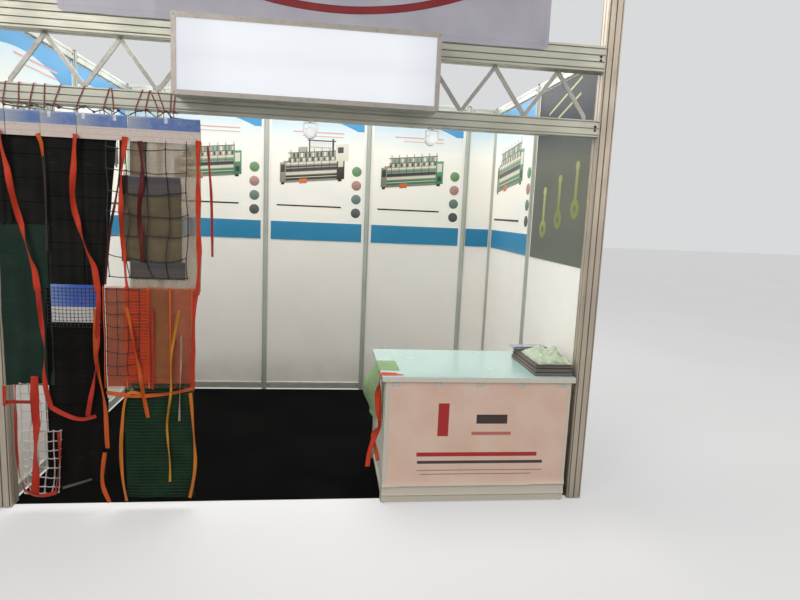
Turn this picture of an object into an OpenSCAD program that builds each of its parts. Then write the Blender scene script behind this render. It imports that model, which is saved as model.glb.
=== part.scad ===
// Exhibition booth of a knitting machine maker: shell-scheme walls, lattice girder,
// light-box sign, poster walls, information counter and hung net samples.
// The floor is z = 0 and the entrance looks towards -Y.

/* [Booth] */
// Distance between the centres of the two front posts
booth_w = 3000; // [2800:50:3400]
// Distance from the centre of a front post to the centre of a back corner post
booth_d = 2040; // [1800:20:2600]
// Height of the walls
wall_h = 2450; // [2430:10:2600]

/* [Front posts] */
// Width of a square front post
post_w = 80; // [76:2:90]
// Height of a front post, without its cap
post_h = 3040; // [2950:10:3300]
// Thickness of the cap on a front post
cap_t = 10; // [6:1:20]
// Radius of a profile's long edges
edge_r = 3; // [1:0.5:4]

/* [Profile grooves] */
// Distance between two grooves of a profile
groove_pitch = 32.5; // [32:0.5:34]
// Width of a groove's mouth
groove_w = 6; // [5:0.5:7]
// Width of the channel behind the mouth
channel_w = 12; // [10:0.5:13]
// Depth of a groove, with its channel
groove_d = 9; // [7:0.5:10]
// Thickness of the lips beside a groove's mouth
lip_t = 2.5; // [2:0.5:4]
// Thickness of a profile's inner wall
profile_wall = 3; // [2:0.5:5]

/* [Girder] */
// Height of the lower chord's underside above the floor
chord_low_z = 1983; // [1950:1:2020]
// Height of the lower chord's section
chord_low_h = 85; // [82:1:100]
// Clear height between the two chords
girder_clear = 240; // [215:5:250]
// Height of the upper chord's section
chord_up_h = 125; // [115:1:130]
// Width of a lattice rod
rod_w = 20; // [12:1:30]
// Thickness of a lattice rod
rod_t = 10; // [6:1:16]
// Distance between two apexes of the lattice
rod_pitch = 331; // [300:1:340]
// Distance from the middle of the girder to the first apex
first_apex = 238; // [200:1:260]
// Number of apexes in each half of the girder
apex_count = 4; // [2:1:4]

/* [Header banner] */
// Width of the banner over the entrance
header_w = 2310; // [2000:10:2700]
// Height by which the banner hides the upper chord
header_cover = 41; // [20:1:60]
// Thickness of the banner
header_t = 1.5; // [1:0.5:3]
// Height of the rail that carries the banner
header_rail_h = 40; // [30:2:60]
// Radius of the coloured arc on the banner
arc_r = 1800; // [1200:10:2400]
// Height of the lowest point of the arc above the banner's lower edge
arc_rise = 88; // [60:1:150]
// Distance of the arc's lowest point from the booth's middle
arc_x = 90; // [-200:5:200]
// Width of the arc's stripe
arc_w = 36; // [15:1:60]
// Thickness of a printed or sewn field
print_t = 0.4; // [0.3:0.1:1]

/* [Sign] */
// Width of the light-box sign
sign_w = 1220; // [900:10:1400]
// Height of the light-box sign
sign_h = 354; // [330:1:400]
// Distance of the sign's middle from the booth's middle, towards the right
sign_x = -20; // [-200:5:200]
// Height of the sign's lower edge above the floor
sign_z = 2037; // [2020:1:2050]
// Depth of the sign's case
sign_d = 120; // [90:1:160]
// Distance from the girder to the back of the sign's case
sign_gap = 20; // [12:1:40]
// Thickness of the case's sheet metal
case_t = 2; // [1.5:0.5:4]
// Width of the sign's frame as seen from the front
bezel_w = 22; // [15:1:40]
// Depth of the sign's frame
bezel_d = 14; // [8:1:30]
// Thickness of the lit face
face_t = 4; // [2:0.5:8]
// Radius of a light tube
tube_r = 13; // [8:1:19]
// Width of a sign bracket's flange
flange_w = 40; // [30:1:60]
// Thickness of a sign bracket's sheet metal
bracket_t = 3; // [2:0.5:5]

/* [Walls] */
// Distance across the flats of a wall post
wall_post = 40; // [38:1:50]
// Width of the narrow bay at each end of the back wall
narrow_bay = 250; // [200:10:350]
// Thickness of a wall panel
panel_t = 4; // [3:0.5:5]
// Height of a wall rail
rail_h = 55; // [40:1:70]
// Thickness of a wall rail
rail_t = 28; // [20:1:34]
// Depth of a panel's seat in a rail
seat_d = 12; // [8:1:16]
// Depth of a panel's seat in a post
post_seat = 3; // [2:0.5:4]
// Height of the lower rails above the floor
rail_z = 10; // [6:1:60]

/* [Posters] */
// Height of the posters' lower edges above the floor
poster_z = 1290; // [1100:10:1400]
// Bare margin between a poster and the posts and rail round it
poster_margin = 21; // [8:1:40]
// Thickness of a poster board
poster_t = 3; // [2:0.5:6]
// Height of the coloured band at a poster's foot
band_low_h = 150; // [80:5:220]
// Height of the coloured band at a poster's head
band_up_h = 190; // [100:5:260]
// Radius of a round fabric sample pictured on a poster
disc_r = 40; // [20:1:45]

/* [Counter] */
// Width of the counter's body
counter_w = 1030; // [800:10:1100]
// Depth of the counter's body
counter_d = 610; // [500:10:700]
// Height of the counter's top
counter_h = 705; // [650:5:900]
// Thickness of the counter's top board
top_t = 26; // [18:1:40]
// Overhang of the counter's top
top_over = 15; // [5:1:30]
// Distance between the counter's body and the right front post
counter_gap = 30; // [20:1:80]
// Distance by which the counter's front stands before the front posts
counter_proud = 16; // [5:1:40]
// Thickness of the counter's shelves
shelf_t = 16; // [10:1:25]
// Thickness of a sliding door
door_t = 6; // [4:0.5:8]
// Height of a sliding door's track
track_h = 14; // [10:1:20]
// Radius of the lock's barrel
lock_r = 9; // [6:0.5:12]

/* [Spotlights] */
// Radius of a spotlight's head
head_r = 28; // [22:1:34]
// Length of a spotlight's head
head_l = 90; // [70:1:120]
// Distance of the middle spotlight from the booth's middle
spot_x1 = -15; // [-100:5:100]
// Distance of the right spotlight from the booth's middle
spot_x2 = 595; // [400:5:800]
// Radius of a spotlight's tilt pin
pin_r = 3; // [2:0.5:5]

/* [Samples] */
// Height of the top edge of the upper sample cards above the floor
card_z = 1947; // [1930:1:1960]
// Height of an upper sample card
card_h = 115; // [80:1:130]
// Thickness of a folded sample card
card_t = 1.5; // [1:0.1:3]
// Depth of a hung cloth's folds, from the middle to a crest
fold_a = 5; // [2:0.5:8]
// Thickness of a hung cloth
cloth_t = 2; // [1:0.5:3]
// Height of the top edge of the lower samples above the floor
low_row_z = 1122; // [1050:1:1250]
// Thickness of the nets' cords
net_t = 3; // [2:0.5:5]
// Width of a ribbon
ribbon_w = 28; // [15:1:40]
// Thickness of a ribbon
ribbon_t = 1.2; // [0.8:0.1:2]
// Thickness of the cords that tie the samples to the girder
cord_t = 4; // [2:0.5:6]

/* [Floor] */
// Thickness of the carpet
carpet_t = 4; // [2:0.5:8]

/* [Clearances] */
// Gap between two rigid pieces that seat on each other
fit = 0.2; // [0.1:0.05:0.5]
// Gap between a soft piece and what it lies or hangs on
soft_gap = 0.3; // [0.2:0.05:0.5]
// Gap beside a sliding or turning piece
run_gap = 0.5; // [0.3:0.05:1]

/* [Hidden] */
$fn = 32;

// The origin is the middle of the bounding box, which runs from the sign's face to the back posts
sign_proud = sign_gap + sign_d + bezel_d / 2;
depth_all = sign_proud + post_w / 2 + booth_d + wall_post / 2;
y_face = sign_proud - depth_all / 2;
y_post = y_face + post_w / 2;
y_back = y_post + booth_d;
y_side = y_post + booth_d / 2;
post_x = booth_w / 2;
inner_x = post_x - post_w / 2;
chord_low_top = chord_low_z + chord_low_h;
chord_up_z = chord_low_top + girder_clear;
chord_up_top = chord_up_z + chord_up_h;
big = 4000;

// Walls
inner_post_x = post_x - narrow_bay;
back_posts_x = [-inner_post_x, -inner_post_x / 3, inner_post_x / 3, inner_post_x];
back_line_x = concat([-post_x], back_posts_x, [post_x]);
rail_top_z = wall_h - rail_h;
panel_z0 = rail_z + rail_h - seat_d;
panel_z1 = rail_top_z + seat_d;
panel_clear = 1;
poster_top = rail_top_z - poster_margin / 2;
poster_h = poster_top - poster_z;
wall_face = panel_t / 2;

// Header
header_drop = 30;
header_z = chord_up_top - header_cover;
header_top = post_h - header_drop;
header_h = header_top - header_z;

// Counter
counter_x1 = inner_x - counter_gap;
counter_x0 = counter_x1 - counter_w;
counter_y0 = y_face - counter_proud;
counter_y1 = counter_y0 + counter_d;
body_top = counter_h - top_t;
foot_h = 8;
foot_r = 15;
c_rail_h = 24;
c_rail_z = foot_h + 6;
c_in_x0 = counter_x0 + wall_post;
c_in_x1 = counter_x1 - wall_post;
c_in_w = c_in_x1 - c_in_x0;
c_low_top = c_rail_z + c_rail_h;
c_high_z = body_top - c_rail_h;
c_post_in = wall_post / 2;
door_gap = 2.5;
track_d = 2 * door_t + 5 * door_gap;
track_y = counter_y1 - c_post_in - track_d / 2;
door_lap = 24;
door_w = (c_in_w + door_lap) / 2;
door_z0 = c_low_top + track_h / 2 + run_gap;
door_z1 = c_high_z - track_h / 2 - run_gap;
door_y_in = track_y + 2 * door_gap;
door_y_out = door_y_in + door_t + door_gap;
door_h = door_z1 - door_z0;
pull_r = 14;
pull_inset = 60;
lock_z = door_z0 + door_h / 2 + 2 * pull_r;
lock_x = c_in_x0 + door_w - pull_inset;
shelf_y1 = counter_y1 - wall_post - fit;

// Spotlights
spot_y = y_face + post_w / 2;
base_t = 6;
base_r = 24;
stem_r = 6;
stem_l = 6;
yoke_t = 3;
yoke_in = head_r + 2;
yoke_drop = head_r + 20;
yoke_z = chord_low_z - base_t - stem_l;
tilt_z = yoke_z - yoke_t - yoke_drop + 8;
head_back = 34;
lamp_r = 16;

// Samples, layered from the girder's face towards the front
y_soft = y_face - soft_gap;
y_crest = y_soft - 2 * fold_a - cloth_t;
y_fold = y_soft - fold_a - cloth_t / 2;
y_card = y_crest - soft_gap - card_t;
y_net = y_card - soft_gap - net_t;
y_low_net = y_crest - soft_gap - net_t;
orange_h = 516;
cloth_tuck = 12;
cloth_top = card_z - cloth_tuck;
sample_x = -inner_x;
// Left and right edge of each upper card, from the left front post
upper_cards = [[10, 70], [75, 221], [224, 378], [387, 603], [606, 932]];
low_card = [233, 455];
low_card_h = 184;
cords_x = [36, 134, 189, 245, 296, 420, 518, 540, 664, 684, 702, 750, 797, 820];
hooks_x = [256, 406, 544, 774];
green_z0 = 640;
green_z1 = 1398;
overlap = 22;

// Sample books at the counter's right end, with what lies on them
book = [214, 430, 20];
books_x1 = counter_x1 + top_over - 5;
books_y0 = counter_y0 + 32;
books_z = counter_h + fit;
books_top = books_z + 3 * book[2] + 2 * fit;
heap_w = 168;
heap_h = 64;
bag = [245, 90, 34];

// Profiles, drawn round their own middle

module rounded_rect(w, h, r) {
    square([w - 2 * r, h], center = true);
    square([w, h - 2 * r], center = true);
    for (sx = [-1, 1], sy = [-1, 1])
        translate([sx * (w / 2 - r), sy * (h / 2 - r)]) circle(r);
}

// A groove that opens towards +Y at y = 0
module t_groove() {
    translate([-groove_w / 2, -groove_d / 2]) square([groove_w, groove_d]);
    translate([-channel_w / 2, -groove_d]) square([channel_w, groove_d - lip_t]);
}

module groove_row(count, reach) {
    for (i = [0 : count - 1])
        translate([(i - (count - 1) / 2) * groove_pitch, reach]) t_groove();
}

// A hollow profile with rows of grooves: count_w on its two wide faces, count_h on the others
module grooved_section(w, h, count_w, count_h) {
    core = groove_d + profile_wall;
    difference() {
        rounded_rect(w, h, edge_r);
        for (a = [0, 180]) rotate(a) groove_row(count_w, h / 2);
        for (a = [90, 270]) rotate(a) groove_row(count_h, w / 2);
        rounded_rect(w - 2 * core, h - 2 * core, edge_r);
    }
}

// An eight-sided post with a groove in each of its flats
module octagon_section() {
    difference() {
        rotate(22.5) circle(wall_post / 2 / cos(22.5), $fn = 8);
        for (a = [0 : 45 : 315])
            rotate(a) translate([-groove_w / 2, wall_post / 2 - post_seat - 1])
                square([groove_w, post_seat + 2]);
        circle(wall_post / 2 - post_seat - 1 - profile_wall);
    }
}

// A rail's section in its own plane: thickness along x, height along y, with a panel seat below
module rail_section(h = rail_h, t = rail_t) {
    difference() {
        rounded_rect(t, h, edge_r);
        translate([-panel_t / 2 - fit, -h / 2 - 1]) square([panel_t + 2 * fit, seat_d + 1 + panel_clear]);
        for (s = [-1, 1])
            translate([s * t / 2, h / 8]) square([5, groove_w], center = true);
    }
}

// Places a flat drawing of x and z upright, from y to y + t
module upright(y, t) {
    translate([0, y + t, 0]) rotate([90, 0, 0]) linear_extrude(t) children();
}

// A drawing of width along x and height along z, as a beam from x0 to x1
module beam_x(x0, x1, y, z) {
    translate([x0, y, z]) rotate([90, 0, 90]) linear_extrude(x1 - x0) children();
}

// A drawing of width along x and height along z, as a beam from y0 to y1
module beam_y(x, y0, y1, z) {
    translate([x, y1, z]) rotate([90, 0, 0]) linear_extrude(y1 - y0) children();
}

// Front posts and girder

module front_post(side) {
    color([0.72, 0.74, 0.68]) translate([side * post_x, y_post, 0])
        linear_extrude(post_h) grooved_section(post_w, post_w, 2 * floor(post_w / 2 / groove_pitch) + 1,
                                               2 * floor(post_w / 2 / groove_pitch) + 1);
}

module post_left() { front_post(-1); }
module post_right() { front_post(1); }

module post_caps() {
    plug = post_w - 2 * (groove_d + profile_wall) - 2 * fit;
    color([0.25, 0.25, 0.26]) for (s = [-1, 1]) translate([s * post_x, y_post, 0]) {
        translate([0, 0, post_h]) linear_extrude(cap_t - 2) rounded_rect(post_w, post_w, edge_r);
        translate([0, 0, post_h + cap_t - 2]) linear_extrude(2) rounded_rect(post_w - 6, post_w - 6, edge_r);
        translate([0, 0, post_h - 20]) linear_extrude(20) rounded_rect(plug, plug, edge_r);
    }
}

module chord(z, h, count) {
    color([0.70, 0.71, 0.66])
        beam_x(-inner_x + fit, inner_x - fit, y_post, z + h / 2)
            grooved_section(post_w, h, 1, count);
}

module upper_chord() { chord(chord_up_z, chord_up_h, 4); }
module lower_chord() { chord(chord_low_z, chord_low_h, 3); }

// One straight rod between two lattice points, mitred where the next one starts
module lattice_rod(x0, z0, x1, z1) {
    run = x1 - x0;
    rise = z1 - z0;
    intersection() {
        translate([x0, y_post - rod_t / 2, z0])
            rotate([0, -atan2(rise, run), 0])
                translate([-rod_w, 0, -rod_w / 2]) cube([norm([run, rise]) + 2 * rod_w, rod_t, rod_w]);
        translate([x0 + fit / 2, y_post - rod_t, chord_low_top])
            cube([run - fit, 2 * rod_t, chord_up_z - chord_low_top]);
    }
}

module lattice_rods() {
    low = chord_low_top + rod_w * 0.35;
    high = chord_up_z - rod_w * 0.35;
    half = rod_pitch / 2;
    color([0.68, 0.66, 0.62]) for (s = [0, 1]) mirror([s, 0, 0])
        for (i = [0 : apex_count - 1]) {
            apex = first_apex + i * rod_pitch;
            lattice_rod(apex - half, low, apex, high);
            lattice_rod(apex, high, apex + half, low);
        }
}

// Banner over the entrance

module header_rail() {
    z = header_top - header_rail_h / 2;
    color([0.70, 0.71, 0.66])
        beam_x(-inner_x + fit, inner_x - fit, y_face + header_rail_h / 2, z)
            difference() {
                rounded_rect(header_rail_h, header_rail_h, edge_r);
                rounded_rect(header_rail_h - 2 * profile_wall, header_rail_h - 2 * profile_wall, edge_r / 2);
            }
}

module header_outline(inset) {
    corner = 20;
    translate([0, header_z + header_h / 2]) rounded_rect(header_w - 2 * inset, header_h - 2 * inset, corner - inset);
}

module header_banner() {
    color([0.84, 0.83, 0.88]) upright(y_soft - header_t, header_t) header_outline(0);
}

module header_arc() {
    color([0.62, 0.10, 0.13]) upright(y_soft - header_t - print_t, print_t) intersection() {
        translate([arc_x, header_z + arc_rise + arc_r]) difference() {
            circle(arc_r, $fn = 360);
            circle(arc_r - arc_w, $fn = 360);
        }
        header_outline(6);
    }
}

// Light-box sign

sign_y0 = y_face - sign_gap - sign_d;
sign_z1 = sign_z + sign_h;
sign_mid_z = sign_z + sign_h / 2;

module sign_case() {
    color([0.60, 0.61, 0.60]) translate([sign_x, 0, sign_mid_z]) difference() {
        upright(sign_y0, sign_d) rounded_rect(sign_w - 4, sign_h - 4, edge_r);
        upright(sign_y0 - 1, sign_d - case_t + 1)
            rounded_rect(sign_w - 4 - 2 * case_t, sign_h - 4 - 2 * case_t, edge_r / 2);
    }
}

// The frame is a ring before the face
module sign_frame() {
    color([0.62, 0.62, 0.62]) translate([sign_x, 0, sign_mid_z]) {
        upright(sign_y0 - bezel_d / 2, bezel_d / 2 - fit) difference() {
            rounded_rect(sign_w, sign_h, edge_r);
            square([sign_w - 2 * bezel_w, sign_h - 2 * bezel_w], center = true);
        }
    }
}

module sign_face() {
    hold = bezel_w * 0.4;
    color([0.97, 0.98, 1.0]) translate([sign_x, 0, sign_mid_z])
        upright(sign_y0 + fit, face_t)
            square([sign_w - 2 * (bezel_w - hold), sign_h - 2 * (bezel_w - hold)], center = true);
}

module sign_tubes() {
    length = sign_w - 160;
    y = sign_y0 + sign_d - case_t - tube_r - 6;
    color([0.95, 0.95, 0.95]) for (s = [-1, 1]) translate([sign_x, y, sign_mid_z + s * sign_h / 4]) {
        translate([-length / 2, 0, 0]) rotate([0, 90, 0]) cylinder(r = tube_r, h = length);
        for (e = [-1, 1]) translate([e * (length / 2 + 6) - 6, -tube_r - 3, -tube_r - 3])
            cube([12, 2 * tube_r + 9 - fit, 2 * tube_r + 6]);
    }
}

// Two bent strips between the case and the chords
module sign_brackets() {
    z0 = sign_z + 4;
    z1 = min(header_z, sign_z1) - 8;
    gap = sign_gap - 2 * fit;
    color([0.5, 0.5, 0.52]) for (s = [-1, 1])
        translate([sign_x + s * sign_w * 0.36, y_face - fit, z0]) linear_extrude(z1 - z0) {
            translate([-flange_w / 2, -bracket_t]) square([flange_w, bracket_t]);
            translate([-bracket_t / 2, -gap]) square([bracket_t, gap]);
            translate([-flange_w / 2, -gap]) square([flange_w / 2, bracket_t]);
        }
}

// Walls

module wall_posts() {
    color([0.74, 0.75, 0.71]) {
        for (x = back_line_x) translate([x, y_back, 0]) linear_extrude(wall_h) octagon_section();
        for (s = [-1, 1]) translate([s * post_x, y_side, 0]) linear_extrude(wall_h) octagon_section();
    }
}

module back_rails() {
    color([0.76, 0.78, 0.74]) for (i = [0 : len(back_line_x) - 2]) {
        x0 = back_line_x[i] + wall_post / 2 + fit;
        x1 = back_line_x[i + 1] - wall_post / 2 - fit;
        beam_x(x0, x1, y_back, rail_top_z + rail_h / 2) rail_section();
        beam_x(x0, x1, y_back, rail_z + rail_h / 2) mirror([0, 1]) rail_section();
    }
}

// Start and end of the two bays of a side wall
side_bays = [[y_face + post_w, y_side - wall_post / 2], [y_side + wall_post / 2, y_back - wall_post / 2]];

module side_rails() {
    color([0.76, 0.78, 0.74]) for (s = [-1, 1], b = side_bays) {
        beam_y(s * post_x, b[0] + fit, b[1] - fit, rail_top_z + rail_h / 2) rail_section();
        beam_y(s * post_x, b[0] + fit, b[1] - fit, rail_z + rail_h / 2) mirror([0, 1]) rail_section();
    }
}

module back_panels() {
    color([0.93, 0.93, 0.88]) for (i = [0 : len(back_line_x) - 2]) {
        x0 = back_line_x[i] + wall_post / 2 - post_seat;
        x1 = back_line_x[i + 1] - wall_post / 2 + post_seat;
        translate([x0, y_back - panel_t / 2, panel_z0]) cube([x1 - x0, panel_t, panel_z1 - panel_z0]);
    }
}

module side_panels() {
    color([0.93, 0.93, 0.88]) for (s = [-1, 1], b = side_bays)
        translate([s * post_x - panel_t / 2, b[0] - post_seat, panel_z0])
            cube([panel_t, b[1] - b[0] + 2 * post_seat, panel_z1 - panel_z0]);
}

// Posters: each place is [middle x, middle y, turn, width], on the inner face of its panel
bay_w = 2 * inner_post_x / 3 - wall_post;
narrow_w = narrow_bay - wall_post;
side_w = side_bays[1][1] - side_bays[1][0];
side_mid = [for (b = side_bays) (b[0] + b[1]) / 2];
side_front_w = side_bays[0][1] - side_bays[0][0];
wide_places = [
    for (i = [-1, 0, 1]) [i * 2 * inner_post_x / 3, y_back - wall_face, 0, bay_w - 2 * poster_margin],
    [-post_x + wall_face, side_mid[0], 90, side_front_w - 2 * poster_margin],
    [-post_x + wall_face, side_mid[1], 90, side_w - 2 * poster_margin],
    [post_x - wall_face, side_mid[1], -90, side_w - 2 * poster_margin]];
narrow_places = [for (s = [-1, 1])
    [s * (post_x + inner_post_x) / 2, y_back - wall_face, 0, narrow_w - poster_margin / 2]];
dark_place = [post_x - wall_face, side_mid[0], -90, side_front_w - 2 * poster_margin];

// A drawing of x and z on the wall, as a layer from `away` to `away + t` off the panel
module on_wall(place, away, t) {
    translate([place[0], place[1], 0]) rotate(place[2]) upright(-away - t, t) children();
}

module poster_boards() {
    color([0.95, 0.94, 0.90]) for (p = concat(wide_places, narrow_places))
        on_wall(p, 0, poster_t) translate([-p[3] / 2, poster_z]) square([p[3], poster_h]);
}

// Bands at the head and foot of a poster: the upper one ends in a curve
module blue_bands(w) {
    sweep = w * 1.4;
    translate([-w / 2, poster_z]) square([w, band_low_h]);
    difference() {
        translate([-w / 2, poster_top - band_up_h]) square([w, band_up_h]);
        translate([-w * 0.18, poster_top - band_up_h * 0.45 - sweep]) circle(sweep, $fn = 96);
    }
}

module print_blue() {
    color([0.25, 0.56, 0.78]) for (p = concat(wide_places, narrow_places))
        on_wall(p, poster_t, print_t) blue_bands(p[3]);
}

// A plain side view of a long machine: bed, stands, beam and warp rolls
module machine_outline(w) {
    h = w * 0.55;
    bed = h * 0.14;
    translate([-w / 2, 0]) {
        translate([0, h * 0.3]) square([w, bed]);
        translate([0, h * 0.8]) square([w, bed * 0.7]);
        for (i = [0 : 4]) translate([i * (w - bed) / 4, 0]) square([bed, h * 0.85]);
        for (i = [0 : 2]) translate([w * (0.2 + 0.3 * i), h * 0.95]) circle(h * 0.11);
        translate([-w * 0.06, h * 0.45]) square([w * 1.12, bed * 0.4]);
    }
}

module print_machines() {
    color([0.36, 0.50, 0.42]) for (p = wide_places)
        on_wall(p, poster_t, print_t) translate([-p[3] * 0.08, poster_z + poster_h * 0.42])
            machine_outline(p[3] * 0.56);
}

module print_discs() {
    color([0.45, 0.45, 0.50]) for (p = wide_places, i = [0 : 3])
        on_wall(p, poster_t, print_t)
            translate([p[3] / 2 - disc_r - 14, poster_z + band_low_h + 90 + i * (2 * disc_r + 34)])
                circle(disc_r);
}

module poster_dark() {
    color([0.22, 0.23, 0.24]) on_wall(dark_place, 0, poster_t)
        translate([-dark_place[3] / 2, poster_z]) square([dark_place[3], poster_h]);
}

// Pulley blocks hung on bars, drawn as discs with straps
module fitting_outline(s) {
    difference() {
        union() {
            circle(s);
            translate([-s * 0.32, 0]) square([s * 0.64, s * 4.2]);
            translate([0, s * 4.2]) circle(s * 0.5);
        }
        circle(s * 0.35);
    }
}

module print_fittings() {
    color([0.62, 0.66, 0.60]) on_wall(dark_place, poster_t, print_t) intersection() {
        union() {
            for (i = [-1, 0, 1])
                translate([i * dark_place[3] * 0.27, poster_z + poster_h * (0.24 + 0.06 * i)]) fitting_outline(58);
            for (i = [0, 1])
                translate([-dark_place[3] * 0.30, poster_top - 260 + i * 90]) rotate(16)
                    square([dark_place[3] * 0.55, 14]);
        }
        translate([-dark_place[3] / 2 + 8, poster_z]) square([dark_place[3] - 16, poster_h - 8]);
    }
}

module carpet() {
    half = post_x - wall_post / 2 - soft_gap;
    y0 = y_face + post_w / 2;
    y1 = y_back - wall_post / 2 - soft_gap;
    notch = post_w / 2 + soft_gap;
    color([0.06, 0.06, 0.065]) linear_extrude(carpet_t) difference() {
        translate([-half, y0]) square([2 * half, y1 - y0]);
        for (s = [-1, 1]) translate([s * post_x - notch, y_post - notch]) square(2 * notch);
    }
}

// Counter

c_posts = [for (x = [counter_x0 + c_post_in, counter_x1 - c_post_in],
                y = [counter_y0 + c_post_in, counter_y1 - c_post_in]) [x, y]];

module counter_posts() {
    color([0.74, 0.75, 0.71]) for (p = c_posts) translate([p[0], p[1], foot_h])
        linear_extrude(body_top - foot_h) octagon_section();
}

module counter_feet() {
    color([0.12, 0.12, 0.12]) for (p = c_posts) {
        on_carpet = p[1] - foot_r > y_face + post_w / 2;
        z0 = on_carpet ? carpet_t : 0;
        translate([p[0], p[1], z0]) cylinder(r = foot_r, h = foot_h - z0);
    }
}

// Rails between the counter's posts: front and both sides, low and high
module counter_rails() {
    t = 24;
    y0 = counter_y0 + c_post_in;
    y1 = counter_y1 - c_post_in;
    color([0.74, 0.75, 0.71]) for (z = [c_rail_z + c_rail_h / 2, c_high_z + c_rail_h / 2]) {
        flip = z > counter_h / 2 ? 0 : 1;
        beam_x(c_in_x0 + fit, c_in_x1 - fit, y0, z) mirror([0, flip]) rail_section(c_rail_h, t);
        for (x = [counter_x0 + c_post_in, counter_x1 - c_post_in])
            beam_y(x, y0 + c_post_in + fit, y1 - c_post_in - fit, z) mirror([0, flip]) rail_section(c_rail_h, t);
    }
}

module counter_top() {
    y_mid = (counter_y0 + counter_y1) / 2;
    color([0.90, 0.93, 0.92]) translate([(counter_x0 + counter_x1) / 2, y_mid, body_top]) {
        linear_extrude(top_t) rounded_rect(counter_w + 2 * top_over, counter_d + 2 * top_over, 8);
    }
}

module counter_panels() {
    z0 = c_low_top - seat_d;
    z1 = c_high_z + seat_d;
    y0 = counter_y0 + c_post_in;
    y1 = counter_y1 - c_post_in;
    color([0.92, 0.92, 0.90]) {
        translate([c_in_x0 - post_seat, y0 - panel_t / 2, z0])
            cube([c_in_w + 2 * post_seat, panel_t, z1 - z0]);
        for (x = [counter_x0 + c_post_in, counter_x1 - c_post_in])
            translate([x - panel_t / 2, y0 + c_post_in - post_seat, z0])
                cube([panel_t, y1 - y0 - wall_post + 2 * post_seat, z1 - z0]);
    }
}

// The floor of the counter and one shelf at half height, notched round the posts
module counter_shelves() {
    x0 = counter_x0 + c_post_in + panel_t / 2 + fit;
    x1 = counter_x1 - c_post_in - panel_t / 2 - fit;
    y0 = counter_y0 + c_post_in + panel_t / 2 + fit;
    notch = wall_post + 1;
    color([0.88, 0.88, 0.86]) for (z = [c_low_top, (c_low_top + c_high_z) / 2])
        translate([0, 0, z + fit]) linear_extrude(shelf_t) difference() {
            translate([x0, y0]) square([x1 - x0, shelf_y1 - y0]);
            for (x = [counter_x0 - 1, counter_x1 - notch + 1])
                translate([x, counter_y0 - 1]) square(notch);
        }
}

// A track with two grooves for the doors, open towards the doors
module track_section() {
    difference() {
        translate([0, -track_h / 2]) square([track_d, track_h]);
        for (y = [door_y_in - track_y, door_y_out - track_y])
            translate([y - run_gap, 0]) square([door_t + 2 * run_gap, track_h]);
    }
}

module counter_tracks() {
    color([0.70, 0.71, 0.68]) {
        beam_x(c_in_x0 + fit, c_in_x1 - fit, track_y, c_low_top + track_h / 2) track_section();
        beam_x(c_in_x0 + fit, c_in_x1 - fit, track_y, c_high_z - track_h / 2) mirror([0, 1]) track_section();
        for (z = [c_rail_z, c_high_z])
            translate([c_in_x0 + fit, track_y, z]) cube([c_in_w - 2 * fit, track_d, c_rail_h]);
    }
}

// A door with a round finger pull cut through it
module sliding_door(x0, y, pull_x) {
    color([0.90, 0.90, 0.88]) difference() {
        translate([x0, y, door_z0]) cube([door_w, door_t, door_h]);
        translate([pull_x, y - 1, door_z0 + door_h / 2]) rotate([-90, 0, 0]) cylinder(r = pull_r, h = door_t + 2);
    }
}

module counter_door_left() {
    difference() {
        sliding_door(c_in_x0 + run_gap, door_y_out, c_in_x0 + pull_inset);
        translate([lock_x, door_y_out - 1, lock_z]) rotate([-90, 0, 0])
            cylinder(r = lock_r + run_gap / 5, h = door_t + 2);
    }
}

module counter_door_right() {
    sliding_door(c_in_x1 - run_gap - door_w, door_y_in, c_in_x1 - pull_inset);
}

// A cam lock's barrel with a flange and a key slot
module counter_lock() {
    color([0.78, 0.78, 0.80]) translate([lock_x, door_y_out - 1, lock_z]) rotate([-90, 0, 0]) difference() {
        union() {
            cylinder(r = lock_r, h = door_t + 2);
            translate([0, 0, door_t + 1 + run_gap / 5]) cylinder(r = lock_r + 3, h = 3);
        }
        translate([-1, -5, door_t]) cube([2, 10, 8]);
    }
}

// Printed cloth over the counter's front, rippled near its foot
module counter_banner() {
    z1 = body_top - 2;
    ripple_z = 110;
    steps = 24;
    y = counter_y0 - soft_gap;
    front = [for (i = [0 : steps]) [-2.5 - 3 * (1 - cos(360 * i / steps)) / 2 * (i % 6 == 0 ? 1 : 0.6),
                                    ripple_z * i / steps + 6]];
    color([0.93, 0.86, 0.86]) translate([counter_x0 + 6, y, 0]) rotate([90, 0, 90])
        linear_extrude(counter_w - 12)
            polygon(concat([[-0.01, 6]], front, [[-1.5, ripple_z + 20], [-1.5, z1], [-0.01, z1]]));
}

// Spotlights under the lower chord

module spot_bases() {
    color([0.90, 0.90, 0.90]) for (x = [spot_x1, spot_x2])
        translate([x, spot_y, chord_low_z - fit - base_t]) {
            difference() {
                cylinder(r = base_r, h = base_t);
                translate([0, 0, -1]) cylinder(r = stem_r + 0.05, h = base_t - 1);
            }
        }
}

// A stem with a fork that holds the head between its arms
module spot_yoke(x) {
    color([0.88, 0.88, 0.88]) translate([x, spot_y, 0]) difference() {
        union() {
            translate([0, 0, yoke_z]) cylinder(r = stem_r, h = stem_l + base_t - 3);
            translate([-yoke_in - yoke_t, -8, yoke_z - yoke_t]) cube([2 * (yoke_in + yoke_t), 16, yoke_t]);
            for (s = [-1, 1]) {
                translate([s * (yoke_in + yoke_t / 2) - yoke_t / 2, -8, tilt_z])
                    cube([yoke_t, 16, yoke_z - yoke_t - tilt_z]);
                translate([s * (yoke_in + yoke_t / 2) - yoke_t / 2, 0, tilt_z]) rotate([0, 90, 0])
                    cylinder(r = 8, h = yoke_t);
            }
        }
        translate([-big, 0, tilt_z]) rotate([0, 90, 0]) cylinder(r = pin_r + 0.05, h = 2 * big);
    }
}

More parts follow.
